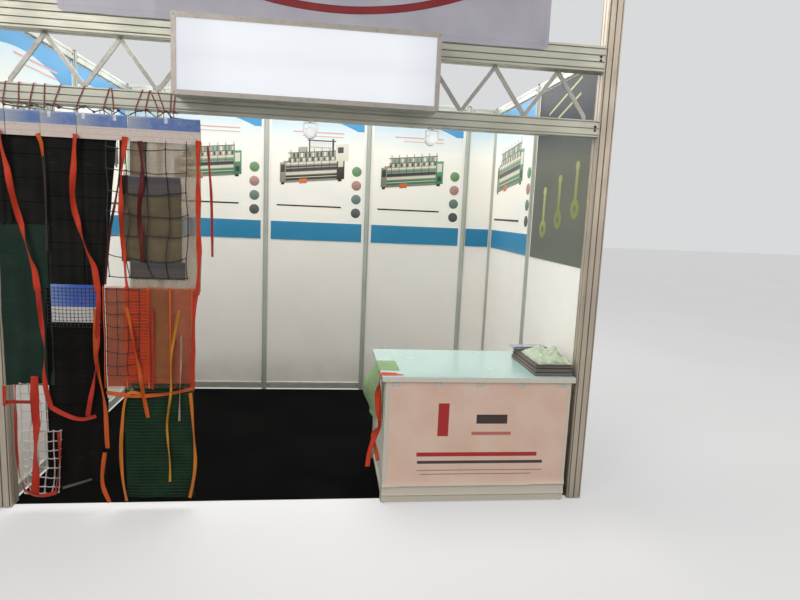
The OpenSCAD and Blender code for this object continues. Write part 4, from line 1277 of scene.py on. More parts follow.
@dataclass
class Walls:
    """The wall frames with their panels, locks and end caps."""

    back_y: float = 1.1035
    side_x: float = 1.5
    middle_post_y: float = 0.0835
    back_posts: tuple[float, ...] = (-1.5, -1.25, -0.41667, 0.41667, 1.25, 1.5)
    side_bays: tuple[tuple[float, float], ...] = ((-0.8965, 0.0635), (0.1035, 1.0835))
    rails: tuple[float, ...] = (0.0375, 2.4225)
    half_rail: float = 0.014
    top: float = 2.450

    def build(self) -> None:
        """Dresses the walls and adds their small parts."""
        dress(WALL_ALLOY, "wall_posts")
        dress(WALL_ALLOY_X, "back_rails", "side_rails")
        dress(LAMINATE, "back_panels", "side_panels")
        report(self.locks(), GREY_PLASTIC)
        report(self.caps(), BLACK_PLASTIC)

    def locks(self) -> bpy.types.Object:
        """Models the round lock covers at the ends of the rails, inside and outside."""
        cover = add_button("lock_across", (0.0, 0.0, 0.0), 0.0065, 0.0024, 0.0028, 14)
        places = []
        for z in self.rails:
            for left, right in zip(self.back_posts, self.back_posts[1:]):
                for x in (left + 0.040, right - 0.040):
                    for face in (-1.0, 1.0):
                        turn = Matrix.Rotation(math.pi if face > 0 else 0.0, 4, "Z")
                        spot = (x, self.back_y + face * self.half_rail, z)
                        places.append(Matrix.Translation(spot) @ turn)
            for side in (-1.0, 1.0):
                for near, far in self.side_bays:
                    for y in (near + 0.020, far - 0.020):
                        for face in (-1.0, 1.0):
                            turn = Matrix.Rotation(face * math.pi / 2, 4, "Z")
                            spot = (side * self.side_x + face * self.half_rail, y, z)
                            places.append(Matrix.Translation(spot) @ turn)
        return repeat("rail_locks", cover, places)

    def caps(self) -> bpy.types.Object:
        """Models the eight-sided end caps on the wall posts."""
        first = add_button("cap", (0.0, 0.0, 0.0), 0.0205, 0.005, 0.0, 8, (0.0, 0.0, math.pi / 8))
        places = [(x, self.back_y, self.top + 0.0026) for x in self.back_posts]
        places.extend((side * self.side_x, self.middle_post_y, self.top + 0.0026) for side in (-1.0, 1.0))
        return repeat("wall_post_caps", first, places)


@dataclass
class Posters:
    """The printed boards on the walls, with plain pictures of a wide machine and round samples."""

    low: float = 1.290
    machine_z: float = 1.7497
    disc_radius: float = 0.040
    first_disc_z: float = 1.530
    disc_step: float = 0.114
    proud: float = 0.0004
    tall_pictures: tuple[str, ...] = ("back_middle", "left_back")

    def build(self) -> None:
        """Dresses the boards and builds their pictures."""
        board = PrintFinish("poster_sheet_print", tint(255, 252, 242), tint(128, 194, 228), 2.02, 2.5, 0.4,
                            0.05)
        dress(board, "poster_boards")
        dress(PrintFinish("blue_band_print", tint(40, 134, 176), tint(84, 160, 212), 1.29, 2.30, 0.6, 0.06),
              "print_blue")
        dress(PrintFinish("dark_poster_print", tint(100, 103, 92), tint(26, 32, 44), 1.90, 2.16, 0.6, 0.03),
              "poster_dark")
        dress(PrintFinish("fitting_print", tint(128, 134, 70), tint(186, 190, 130), 1.4, 2.2, 1.6, 0.04),
              "print_fittings")
        for name, side, x, y, width in self.walls():
            picture = self.machine_picture(name, width, name in self.tall_pictures)
            picture.data.transform(self.on_wall(side, x, y))
            report(picture, replaces="print_machines")
            discs = self.sample_discs(name, width)
            discs.data.transform(self.on_wall(side, x, y))
            report(discs, replaces="print_discs")

    def walls(self) -> list[tuple[str, Side, float, float, float]]:
        """Lists the wide posters: name, side, place and width."""
        back_y = 1.0985 - self.proud
        return [("back_left", Side.FRONT, -0.83333, back_y, 0.7513),
                ("back_middle", Side.FRONT, 0.0, back_y, 0.7513),
                ("back_right", Side.FRONT, 0.83333, back_y, 0.7513),
                ("left_front", Side.FROM_LEFT, -1.495 + self.proud, -0.4165, 0.918),
                ("left_back", Side.FROM_LEFT, -1.495 + self.proud, 0.5935, 0.938),
                ("right_back", Side.FROM_RIGHT, 1.495 - self.proud, 0.5935, 0.938)]

    def on_wall(self, side: Side, x: float, y: float) -> Matrix:
        """Gives the move from a flat picture at the origin to its wall."""
        return Matrix.Translation((x, y, 0.0)) @ Matrix.Rotation(math.radians(side.value), 4, "Z")

    def plate(self, name: str, left: float, low: float, right: float, high: float, depth: float,
              finish: Finish) -> bpy.types.Object:
        """Models one printed field of a picture, a hair proud of the sheet."""
        return wear(add_block(name, (left, -depth, low), (right, 0.0, high), depth * 0.3, 1), finish)

    def machine_picture(self, name: str, width: float, tall_frame: bool) -> bpy.types.Object:
        """Builds a plain picture of a wide knitting machine from printed fields.

        Args:
            name: The wall's name.
            width: The poster's width.
            tall_frame: Whether it is the dark machine with a yarn frame and a switch box.

        Returns:
            The picture, flat at the origin.
        """
        span = 0.70 * width
        tall = 0.56 * span
        left = -0.06 * width - span / 2
        casing = PrintFinish("machine_green_print", tint(24, 104, 70), tint(96, 160, 124), 1.74, 2.0, 0.9)
        if tall_frame:
            casing = PrintFinish("machine_black_print", tint(30, 30, 28), tint(92, 88, 80), 1.74, 2.0, 1.2,
                                 0.04)
        body = PrintFinish("machine_grey_print", tint(120, 118, 104), tint(176, 174, 160), 1.74, 2.0, 1.2)
        pale = PrintFinish("machine_pale_print", tint(202, 196, 170), tint(234, 232, 214), 1.74, 2.0, 0.9)
        dark = PrintFinish("machine_dark_print", tint(30, 34, 36), tint(84, 88, 88), 1.74, 2.0, 0.9, 0.04)
        warm = PrintFinish("machine_orange_print", tint(214, 96, 40), tint(232, 140, 84), 1.74, 2.0, 0.9)
        rose = PrintFinish("caption_rose_print", tint(216, 150, 140), tint(226, 170, 160), 1.74, 2.2, 0.9)
        fields = [(0.05, 0.00, 0.93, 0.60, 0.6, body), (0.14, 0.60, 0.90, 0.80, 0.5, body),
                  (0.03, 0.06, 0.93, 0.19, 1.0, casing), (0.05, 0.12, 0.91, 0.14, 1.3, pale),
                  (0.06, 0.21, 0.92, 0.28, 1.1, pale), (0.08, 0.30, 0.90, 0.38, 1.0, dark),
                  (0.08, 0.41, 0.92, 0.45, 1.2, casing), (0.10, 0.49, 0.90, 0.54, 1.1, pale),
                  (0.00, 0.02, 0.09, 0.56, 1.4, body), (0.015, 0.30, 0.075, 0.50, 1.7, dark),
                  (0.88, 0.02, 1.00, 0.66, 1.4, casing), (0.90, 0.36, 0.98, 0.60, 1.7, pale),
                  (0.91, 0.10, 0.97, 0.24, 1.7, dark), (0.30, -0.04, 0.42, 0.09, 1.5, warm),
                  (0.02, -0.04, 0.07, 0.03, 1.0, dark), (0.90, -0.04, 0.96, 0.03, 1.0, dark),
                  (0.12, 0.80, 0.90, 0.82, 1.0, dark), (0.12, 0.66, 0.90, 0.675, 1.0, dark),
                  (0.20, 1.42, 0.98, 1.45, 1.0, rose), (0.34, 1.32, 0.98, 1.34, 1.0, rose),
                  (-0.04, -0.62, 0.96, -0.58, 1.0, dark)]
        fields.extend((0.13 + i * 0.045, 0.56, 0.155 + i * 0.045, 0.64 + 0.01 * (i % 3), 1.1,
                       pale if i % 2 else dark)
                      for i in range(17))
        fields.extend((0.14 + i * 0.06, 0.68, 0.17 + i * 0.06, 0.79, 1.1, casing if i % 3 else pale)
                      for i in range(13))
        fields.extend((0.16 + i * 0.12, 0.28, 0.168 + i * 0.12, 0.90, 1.3, dark) for i in range(7))
        if tall_frame:
            fields.extend(((0.44, 0.80, 0.46, 1.24, 1.2, dark), (0.80, 0.66, 0.83, 1.28, 1.2, dark),
                           (0.42, 1.20, 0.86, 1.23, 1.4, dark), (0.44, 1.02, 0.82, 1.04, 1.2, body),
                           (0.86, 0.52, 1.06, 0.98, 1.5, pale), (0.89, 0.74, 0.98, 0.90, 1.8, dark),
                           (0.28, 0.82, 0.42, 0.96, 1.1, body)))
            fields.extend((0.47 + i * 0.03, 0.80, 0.475 + i * 0.03, 1.20, 1.0, body) for i in range(11))
        plates = [self.plate(f"{name}_field_{i}", left + a * span, self.machine_z + b * tall,
                             left + c * span, self.machine_z + d * tall, self.proud * depth, finish)
                  for i, (a, b, c, d, depth, finish) in enumerate(fields)]
        picture = join(f"machine_picture_{name}", plates)
        for vertex in picture.data.vertices:
            if -0.1 * tall < vertex.co.z - self.machine_z < tall:
                vertex.co.z += 0.10 * (vertex.co.x - left)
        return picture

    def sample_discs(self, name: str, width: float) -> bpy.types.Object:
        """Builds the four round pictures of net samples beside a machine picture."""
        inks = [PrintFinish(f"disc_print_{i}", ink, faded, 1.5, 2.0, 1.0) for i, (ink, faded) in enumerate((
            (tint(66, 76, 76), tint(120, 126, 120)), (tint(84, 110, 108), tint(130, 150, 144)),
            (tint(150, 104, 100), tint(196, 160, 150)), (tint(60, 120, 76), tint(120, 160, 110))))]
        discs = []
        for i, finish in enumerate(inks):
            spot = (width / 2 - 0.054, -self.proud / 2, self.first_disc_z + i * self.disc_step)
            disc = add_button(f"{name}_disc_{i}", spot, self.disc_radius, self.proud, 0.0, 32)
            discs.append(wear(disc, finish))
        return join(f"sample_discs_{name}", discs)


@dataclass
class Carpet:
    """The needle felt on the floor, cut round the front posts."""

    half_width: float = 1.4798
    front: float = -0.9365
    back: float = 1.0832
    thickness: float = 0.004
    notch_x: float = 1.4598
    notch_y: float = -0.8963
    columns: int = 120
    rows: int = 82
    felt: FeltFinish = FeltFinish("floor_needle_felt")

    def build(self) -> None:
        """Builds the carpet and lays it."""
        width = 2.0 * self.half_width
        length = self.back - self.front
        carpet = add_sheet("carpet_felt", self.columns, self.rows, self.point, (width, length))
        self.cut_notches(carpet)
        apply_modifier(carpet, "SOLIDIFY", thickness=self.thickness - 0.0006, offset=-1.0)
        smooth(carpet, 50.0)
        report(carpet, self.felt, replaces="carpet")

    def point(self, across: float, up: float) -> Point:
        """Places a point of the trodden upper face."""
        x = (2.0 * across - 1.0) * self.half_width
        y = self.front + up * (self.back - self.front)
        edge = min(self.half_width - abs(x), y - self.front, self.back - y)
        worn = 0.0005 * (0.5 + 0.5 * ripple((x, y, 0.0), 4.0)) + (0.0006 if edge < 0.004 else 0.0)
        return (x, y, self.thickness - worn)

    def cut_notches(self, carpet: bpy.types.Object) -> None:
        """Takes away the two front corners, where the posts stand."""
        for side in (-1.0, 1.0):
            take(carpet)
            bpy.ops.object.mode_set(mode="EDIT")
            for place, normal in (((side * self.notch_x, 0.0, 0.0), (1.0, 0.0, 0.0)),
                                  ((0.0, self.notch_y, 0.0), (0.0, 1.0, 0.0))):
                bpy.ops.mesh.select_all(action="SELECT")
                bpy.ops.mesh.bisect(plane_co=place, plane_no=normal)
            bpy.ops.mesh.select_all(action="DESELECT")
            bpy.ops.mesh.select_mode(type="FACE")
            bpy.ops.object.mode_set(mode="OBJECT")
            for face in carpet.data.polygons:
                face.select = side * face.center.x > self.notch_x and face.center.y < self.notch_y
            bpy.ops.object.mode_set(mode="EDIT")
            bpy.ops.mesh.delete(type="FACE")
            bpy.ops.object.mode_set(mode="OBJECT")


@dataclass
class Counter:
    """The lockable counter: its frame, top, doors, lock and the plain banner on its front."""

    banner_low: Point = (0.406, -0.9928, 0.006)
    banner_high: Point = (1.424, -0.9983, 0.677)
    banner_flat: tuple[float, float] = (1.018, 0.671)

    def build(self) -> None:
        """Dresses the counter's parts and builds its banner."""
        frame_metal = MetalFinish("counter_frame_metal", tint(214, 214, 202), tint(190, 190, 180), 0.3, 0.38)
        track = MetalFinish("door_track_metal", tint(186, 188, 184), tint(160, 162, 158), 0.6, 0.36,
                            (4.0, 400.0, 400.0))
        top = PanelFinish("counter_top_laminate", tint(178, 207, 201), tint(154, 184, 178), 0.12, 0.0, 0.5,
                          700.0, 0.00004, 0.35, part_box("counter_top")[0][1] + 0.0012)
        dress(frame_metal, "counter_posts", "counter_rails")
        dress(track, "counter_tracks")
        dress(BLACK_PLASTIC, "counter_feet")
        dress(top, "counter_top")
        dress(PanelFinish("counter_laminate", tint(236, 234, 224), tint(214, 210, 198), 0.36),
              "counter_panels",
              "counter_shelves")
        dress(PanelFinish("door_laminate", tint(232, 231, 224), tint(208, 206, 196), 0.3, 0.0, 0.2),
              "counter_door_left", "counter_door_right")
        dress(MetalFinish("lock_chrome", tint(210, 210, 212), tint(180, 180, 184), 1.0, 0.2,
                          (90.0, 90.0, 90.0)),
              "counter_lock")
        red = tint(186, 34, 34)
        grey = tint(158, 138, 128)
        trim = tint(226, 218, 200)
        marks = (Mark(0.509, 0.048, 0.520, 0.052, trim), Mark(0.012, 0.336, 0.013, 0.340, trim),
                 Mark(1.010, 0.336, 0.009, 0.340, trim), Mark(0.318, 0.462, 0.030, 0.092, red),
                 Mark(0.585, 0.466, 0.086, 0.026, tint(60, 44, 42)),
                 Mark(0.585, 0.386, 0.110, 0.010, tint(206, 120, 108)),
                 Mark(0.515, 0.268, 0.335, 0.012, red), Mark(0.535, 0.224, 0.350, 0.009, tint(66, 54, 52)),
                 Mark(0.535, 0.178, 0.350, 0.003, grey), Mark(0.515, 0.156, 0.310, 0.003, grey))
        cloth = BannerFinish("counter_banner_cloth", marks=marks)
        banner = add_sheet("counter_banner_cloth", 80, 200, self.banner_point, self.banner_flat, 0.0010)
        report(banner, cloth, replaces="counter_banner")
        report(self.tape_tabs(), ClearFinish("clear_tape", tint(240, 240, 232), 0.5, 60.0, 0.2))

    def banner_point(self, across: float, up: float) -> Point:
        """Places a point of the banner, which sags in low waves across its foot."""
        x = self.banner_low[0] + across * (self.banner_high[0] - self.banner_low[0])
        z = self.banner_low[2] + up * (self.banner_high[2] - self.banner_low[2])
        slack = (1.0 - up) ** 1.5
        swell = 0.5 + 0.5 * math.sin(20.0 * z + 2.0 * ripple((x, 0.0, z), 2.5))
        pull = 0.5 + 0.5 * math.sin(11.0 * x + 6.0 * z)
        drift = 0.010 * ripple((x, 0.5, 0.0), 3.0)
        depth = 0.0009 + slack * (0.0016 * swell + 0.0010 * pull)
        for fold_z, size in ((0.100 + drift, 0.0130), (0.046 + 0.4 * drift, 0.0075)):
            over = z - fold_z
            depth += size * (math.exp(-over / 0.014) if over > 0.0 else math.exp(over / 0.0030))
        return (x, self.banner_low[1] - depth, z)

    def tape_tabs(self) -> bpy.types.Object:
        """Models the strips of tape that hold the banner's head."""
        tabs = []
        for i in range(5):
            x = 0.46 + i * 0.228
            y = self.banner_low[1]
            low = (x - 0.022, y - 0.0026, 0.650)
            tabs.append(add_block(f"tab_{i}", low, (x + 0.022, y - 0.0018, 0.6782), 0.0003, 1))
        return join("banner_tape", tabs)


@dataclass
class Spotlights:
    """The two tilting spotlights under the girder."""

    names: tuple[str, str] = ("middle", "right")
    places: tuple[float, float] = (-0.015, 0.595)
    pivot: tuple[float, float] = (-0.9365, 1.928)
    radius: float = 0.028
    mouth: float = 0.056

    def build(self) -> None:
        """Dresses the spotlights, with a painted glow on each head's paint, and adds a mouth ring and cooling
        ribs to each head.
        """
        paint = PanelFinish("spot_paint", tint(246, 246, 242), tint(200, 200, 194), 0.3, 0.1, 0.2, 1200.0,
                            0.00005)
        # The heads' paint gets a painted glow, so that the housings shine white though they are no lamps.
        lit = replace(paint, name="spot_head_painted_glow", glow=0.45)
        dress(paint, "spot_bases")
        for name, x in zip(self.names, self.places):
            dress(paint, f"spot_yoke_{name}")
            dress(lit, f"spot_head_{name}")
            dress(ClearFinish("lamp_glass", tint(255, 246, 222), 0.9, 60.0, 0.15, 1.3), f"spot_lamp_{name}")
            body = f"spot_head_{name}"
            report(self.ring(name, x), GREY_PLASTIC, body)
            report(self.ribs(name, x), BLACK_PLASTIC, body)

    def ring(self, name: str, x: float) -> bpy.types.Object:
        """Models the rolled ring round the mouth of a head."""
        spot = (x, self.pivot[0] + self.mouth, self.pivot[1])
        piece = add_ring(self.radius - 0.001, 0.0016, 48, 10, spot)
        piece.name = f"mouth_ring_{name}"
        return smooth(piece, 60.0)

    def ribs(self, name: str, x: float) -> bpy.types.Object:
        """Models the ribs round the back of a head."""
        ribs = []
        for i in range(3):
            y = self.pivot[0] - 0.006 + i * 0.009
            ribs.append(smooth(add_ring(self.radius, 0.0009, 40, 6, (x, y + 0.02, self.pivot[1])), 60.0))
        return join(f"head_ribs_{name}", ribs)


@dataclass
class Hanging:
    """One cloth that hangs from the girder: its outline, folds and finish."""

    name: str
    left: float
    right: float
    low: float
    high: float
    finish: Finish
    slot: str
    replaces: str | None
    y: float = -0.979
    folds: float = 3.0
    depth: float = 0.003
    taper: float = 0.0
    slant: float = 0.0
    sway: float = 0.0
    thickness: float = 0.0008
    held: Held = Held.HUNG
    gather: float = 1.08

    def point(self, across: float, up: float) -> Point:
        """Places a point of the cloth, its folds deeper towards the foot."""
        free = 1.0 - up
        left = self.left + self.sway * free ** 1.4
        right = self.right - self.taper * free + self.sway * free ** 1.4
        x = left + across * (right - left)
        foot = self.low + self.slant * (across - 0.5)
        z = foot + up * (self.high - foot)
        seed = self.left * 7.0 + self.low
        swing = math.sin(math.tau * self.folds * across + 1.6 * ripple((x, 0.0, z), 2.2, seed))
        crumple = ripple((x * 2.0, seed, z), 9.0, seed)
        y = self.y + self.depth * (swing * (0.35 + 0.65 * free) + 0.5 * crumple)
        edge = min(across, 1.0 - across) * (right - left)
        x += 0.004 * ripple((seed, 0.0, z), 6.0, seed) * math.exp(-edge / 0.03)
        z += 0.004 * ripple((x, seed, 0.0), 14.0, seed) * math.exp(-(z - foot) / 0.03)
        return (x, y, z)

    def build(self) -> None:
        width = self.right - self.left
        height = self.high - self.low
        columns = max(12, int(width / 0.0075))
        rows = max(12, int(height / 0.011))
        flat = (round(width * self.gather, 3), round(height, 3))
        piece = add_sheet(self.name, columns, rows, self.point, flat, self.thickness)
        report(piece, self.finish, replaces=self.replaces)


@dataclass
class Tape:
    """One woven tape that follows a line of points, given across the samples and up, in millimetres."""

    points: tuple[tuple[int, int], ...]
    finish: TapeFinish
    y: float
    replaces: str | None = "ribbons"
    slot: str = "ribbon"
    curl: float = 0.003
    foot_width: float = 1.0
    twist: float = 1.1

    def build(self, name: str, origin: float) -> None:
        """Args:
            name: The piece's name.
            origin: Where the points' first number counts from.
        """
        route = Route([(origin + across / 1000.0, up / 1000.0) for across, up in self.points])
        width = self.finish.width

        def point(across: float, up: float) -> Point:
            """Places a point of the tape beside its middle line."""
            share = 1.0 - up
            here = route.at(share)
            run = (route.at(min(share + 0.01, 1.0)) - route.at(max(share - 0.01, 0.0))).normalized()
            beside = Vector((-run.y, run.x))
            half = width * (0.5 - across) * (1.0 + (self.foot_width - 1.0) * share)
            seed = self.points[0][0] * 0.02
            turn = self.twist * math.sin(math.pi * share) ** 0.5 * math.sin(13.0 * share * route.whole + seed)
            place = here - beside * half * math.cos(turn)
            bend = self.curl * (math.sin(14.0 * share * route.whole + 3.0 * across + seed) - 1.0)
            y = self.y + bend + half * math.sin(turn) - abs(0.5 * width * math.sin(turn))
            return (place.x, y, max(place.y, 0.006))

        rows = max(16, int(route.whole / 0.012))
        piece = add_sheet(name, 6, rows, point, (width, route.whole), 0.0008)
        report(piece, self.finish, replaces=self.replaces)


@dataclass
class KnottedNet:
    """An open net of real cords with a knot at each crossing."""

    name: str
    left: float
    right: float
    low: float
    high: float
    columns: int
    rows: int
    radius: float
    finish: Finish
    slot: str
    replaces: str | None
    y: float
    sag: float = 0.02
    waver: float = 0.012
    taper: float = 0.0
    tucked_above: float = 9.0

    def cross(self, column: float, row: float) -> Point:
        """Gives the place of a knot, each mesh hanging a little askew."""
        across = column / self.columns
        free = row / self.rows
        right = self.right - self.taper * free
        x = self.left + across * (right - self.left)
        z = self.high - free * (self.high - self.low)
        z -= self.sag * math.sin(math.pi * across) * (0.3 + 0.7 * free)
        x += self.waver * ripple((x, 0.3, z), 7.0, self.left) * (0.3 + free)
        z += self.waver * ripple((x, 1.7, z), 8.0, self.low) * (0.3 + free)
        x = min(max(x, self.left), right)
        y = self.y + (0.0082 if z > self.tucked_above else 0.0)
        return (x, y + 0.0012 * ripple((x, 0.0, z), 12.0), max(z, self.low))

    def line(self, start: tuple[int, int], end: tuple[int, int], steps: int) -> list[Point]:
        """Lists the points of one cord between two knots of the net."""
        places = []
        for i in range(steps * 2 + 1):
            share = i / (steps * 2)
            column = start[0] + (end[0] - start[0]) * share
            row = start[1] + (end[1] - start[1]) * share
            x, y, z = self.cross(column, row)
            droop = 0.006 * math.sin(math.pi * (column % 1.0)) if start[1] == end[1] else 0.0
            places.append((x, y, z - droop))
        return places

    def build(self) -> None:
        """Builds the cords and the knots of the net."""
        runs = [self.line((0, row), (self.columns, row), self.columns) for row in range(self.rows + 1)]
        runs += [self.line((column, 0), (column, self.rows), self.rows) for column in range(self.columns + 1)]
        cords = add_cords(f"{self.name}_cords", runs, self.radius, 1)
        places = [self.cross(c, r) for c in range(self.columns + 1) for r in range(self.rows + 1)]
        size = self.radius * 1.9
        knots = add_knots(f"{self.name}_knot", places, (size * 1.2, size * 0.8, size))
        net = join(self.name, [cords, knots])
        report(net, self.finish, replaces=self.replaces)


@dataclass
class HungSamples:
    """All that hangs from the lower chord: cards, cloths, nets, tapes, cords and clips."""

    origin: float = -1.460
    soft_y: float = -0.9768
    card_high: float = 1.947
    card_low: float = 1.832
    upper_cards: tuple[tuple[float, float], ...] = ((0.004, 0.063), (0.066, 0.214), (0.216, 0.372),
                                                    (0.375, 0.600), (0.603, 0.930))
    low_card: tuple[float, float, float, float] = (0.233, 0.455, 0.960, 1.144)
    cord_places: tuple[float, ...] = (0.054, 0.122, 0.169, 0.232, 0.273, 0.373, 0.492, 0.536, 0.634, 0.678,
                                      0.737, 0.764, 0.791, 0.805)
    cord_heads: tuple[float, ...] = (0.070, 0.126, 0.190, 0.237, 0.306, 0.410, 0.520, 0.529, 0.666, 0.698,
                                     0.702, 0.734, 0.797, 0.815)

    def build(self) -> None:
        """Builds everything that hangs from the girder."""
        self.build_cloths()
        self.build_nets()
        self.build_cards()
        self.build_cords()
        self.build_tapes()
        dress(ClearFinish("clear_clip_plastic", tint(250, 250, 250), 0.88, 60.0, 0.14), "card_hooks")

    def build_cloths(self) -> None:
        """Hangs the closed cloths."""
        black = ClothFinish("black_shade_cloth", band=0.11)
        low_black = ClothFinish("low_black_shade_cloth", tint(20, 19, 17), tint(38, 34, 30), band=0.09)
        grey = ClothFinish("grey_thin_cloth", tint(198, 178, 150), tint(228, 210, 184), 0.0045, 0.1, 0.0008,
                           0.42,
                           seam_and_gap_shade_colour=tint(72, 56, 42))
        olive = ClothFinish("olive_thin_cloth", tint(128, 114, 88), tint(168, 154, 126), 0.0045, 0.1,
                            0.0008, 0.14,
                            seam_and_gap_shade_colour=tint(34, 28, 20))
        rust = ClothFinish("rust_thin_cloth", tint(212, 140, 110), tint(240, 188, 158), 0.0045, 0.1, 0.0008,
                           0.12,
                           seam_and_gap_shade_colour=tint(60, 26, 16))
        brown = ClothFinish("brown_folded_cloth", tint(66, 40, 34), tint(104, 66, 54), 0.004, 0.1, 0.0008,
                            0.18)
        green = ClothFinish("dark_green_cloth", tint(42, 66, 55), tint(66, 86, 74), 0.003)
        x = self.origin
        y = self.soft_y - 0.004
        for i, (left, right, low, taper) in enumerate(((0.008, 0.074, 1.420, 0.0), (0.070, 0.226, 1.420, 0.0),
                                                       (0.220, 0.384, 1.122, 0.0),
                                                       (0.380, 0.556, 1.122, 0.085))):
            Hanging(f"black_cloth_{i + 1}", x + left, x + right, low, 1.935, black, "cloth_black",
                    "cloth_black",
                    y + 0.0042 * (i % 2), 2.0 + i * 0.5, 0.0024, taper).build()
        Hanging("grey_cloth", x + 0.608, x + 0.930, 1.122, 1.935, grey, "cloth_grey", "cloth_grey", y, 7.0,
                0.0036,
                gather=1.25, held=Held.GATHERED).build()
        Hanging("brown_fold", x + 0.604, x + 0.688, 1.630, 1.900, brown, "cloth_grey", None, y + 0.007, 3.0,
                0.005,
                0.02).build()
        Hanging("olive_cloth", x + 0.560, x + 0.840, 1.262, 1.640, olive, "cloth_grey", None, y - 0.0062, 3.0,
                0.0016).build()
        Hanging("rust_cloth", x + 0.480, x + 0.898, 0.640, 1.134, rust, "mesh_orange", None, -0.9850, 3.0,
                0.0010).build()
        tan = ClothFinish("tan_thin_cloth", tint(168, 148, 100), tint(200, 180, 132), 0.004, 0.1, 0.0008,
                          0.05)
        Hanging("tan_cloth", x + 0.694, x + 0.800, 0.680, 1.120, tan, "mesh_orange", None, -0.9885, 2.0,
                0.0005).build()
        Hanging("green_cloth", x + 0.006, x + 0.234, 0.640, 1.424, green, "cloth_green", "cloth_green", y,
                2.5,
                0.003, 0.006).build()
        Hanging("low_black_cloth_upper", x + 0.202, x + 0.474, 0.545, 1.126, low_black, "cloth_black",
                "cloth_low",
                y, 2.5, 0.003).build()
        Hanging("low_black_cloth_foot", x + 0.183, x + 0.481, 0.120, 0.575, low_black, "cloth_black",
                "cloth_low",
                y + 0.005, 3.0, 0.003, 0.02, 0.05).build()

    def build_nets(self) -> None:
        """Hangs the nets."""
        x = self.origin
        cord = CordFinish("black_net_cord", tint(26, 25, 24), tint(10, 10, 10))
        KnottedNet("coarse_black_net", x + 0.500, x + 0.872, 1.190, 1.905, 4, 7, 0.0024, cord, "net_black",
                   "net_black", -0.9962, 0.016, 0.022, 0.0, 1.835).build()
        orange = NetFinish("orange_fine_net", tint(240, 106, 58), tint(200, 86, 52), 0.0085, 0.0085, 0.18,
                           0.3, 0.11)
        Hanging("orange_net", x + 0.470, x + 0.906, 0.630, 1.142, orange, "mesh_orange", "mesh_orange",
                -0.9935, 4.0,
                0.0014, gather=1.05).build()
        lined = NetFinish("red_line_net", tint(226, 80, 46), tint(176, 64, 40), 0.0085, 0.006, 0.38, 0.25,
                          0.0, 0.016)
        Hanging("red_line_net", x + 0.572, x + 0.690, 0.662, 1.126, lined, "mesh_orange", None, -0.9952, 2.0,
                0.0008).build()
        green = NetFinish("green_fine_net", tint(34, 66, 42), tint(14, 30, 20), 0.0085, 0.006, 0.5, 0.25,
                          0.0, 0.017)
        Hanging("green_net", x + 0.562, x + 0.894, 0.056, 0.656, green, "mesh_green", "mesh_green", -0.9940,
                3.0,
                0.002).build()
        KnottedNet("low_card_net", x + 0.214, x + 0.462, 0.940, 1.130, 14, 11, 0.0009, cord, "net_black",
                   None, -0.9936, 0.004, 0.004).build()
        KnottedNet("inner_black_net", x + 0.484, x + 0.640, 0.700, 1.130, 3, 7, 0.0017, cord, "net_black",
                   None, -0.9962, 0.012, 0.02).build()
        white = CordFinish("white_net_cord", tint(246, 240, 234), tint(208, 192, 182))
        KnottedNet("white_net_foot", x + 0.074, x + 0.256, 0.086, 0.412, 5, 7, 0.0026, white, "net_white",
                   "net_white", -0.9935, 0.010, 0.026, 0.022).build()
        KnottedNet("white_net_head", x + 0.074, x + 0.196, 0.414, 0.654, 3, 5, 0.0022, white, "net_white",
                   None, -0.9935, 0.004, 0.02).build()

    def card(self, name: str, left: float, right: float, low: float, high: float,
             finish: Finish, y: float = -0.9914) -> None:
        """Builds one folded card: a front leaf, a round fold and a back leaf.

        Args:
            name: The piece's name.
            left: Its left edge.
            right: Its right edge.
            low: Its foot.
            high: Its fold.
            finish: Its print.
            y: How far forward it hangs.
        """
        width = right - left
        height = high - low
        half_gap = 0.0007

        def point(across: float, up: float) -> Point:
            """Places a point of the card, from the foot of the front leaf over the fold."""
            leaf = up * 2.0
            front = leaf <= 1.0
            share = leaf if front else 2.0 - leaf
            x = left + across * width
            bow = 0.0004 * math.sin(math.pi * across) * (1.0 - share)
            depth = y + (-half_gap if front else half_gap) * min(1.0, (1.0 - share) * 30.0)
            return (x, depth - bow if front else depth, low + share * height)

        piece = add_sheet(name, 16, 48, point, (width, height * 2.0), 0.0006)
        report(piece, finish, replaces="sample_cards")

    def build_cards(self) -> None:
        """Hangs the header cards in their clear sleeves."""
        sleeve = ClearFinish("clear_sleeve_film", body=0.05, scale=16.0)
        plain = CardFinish("blue_header_card")
        long = CardFinish("long_header_card", tint(44, 104, 186), width=0.16)
        for i, (left, right) in enumerate(self.upper_cards):
            finish = long if i == 4 else plain
            self.card(f"header_card_{i + 1}", self.origin + left, self.origin + right, self.card_low,
                      self.card_high, finish)
            Hanging(f"card_sleeve_{i + 1}", self.origin + left - 0.002, self.origin + right + 0.002,
                    self.card_low + 0.003, self.card_high + 0.004, sleeve, "clip", None, -0.9945,
                    1.5, 0.0012,
                    thickness=0.0002, gather=1.0).build()
        inner = CardFinish("inner_header_card", tint(54, 50, 52), tint(74, 64, 58), tint(66, 60, 62), 0.085,
                           0.6)
        self.card("inner_card_upper", self.origin + 0.556, self.origin + 0.838, 1.588, 1.673, inner, -0.9902)
        self.card("inner_card_lower", self.origin + 0.600, self.origin + 0.856, 1.180, 1.266, inner, -0.9902)
        low = CardFinish("low_header_card", tint(40, 84, 180), tint(214, 208, 204), tint(120, 150, 214),
                         0.184, 0.42)
        self.card("header_card_low", self.origin + self.low_card[0], self.origin + self.low_card[1],
                  self.low_card[2], self.low_card[3], low)

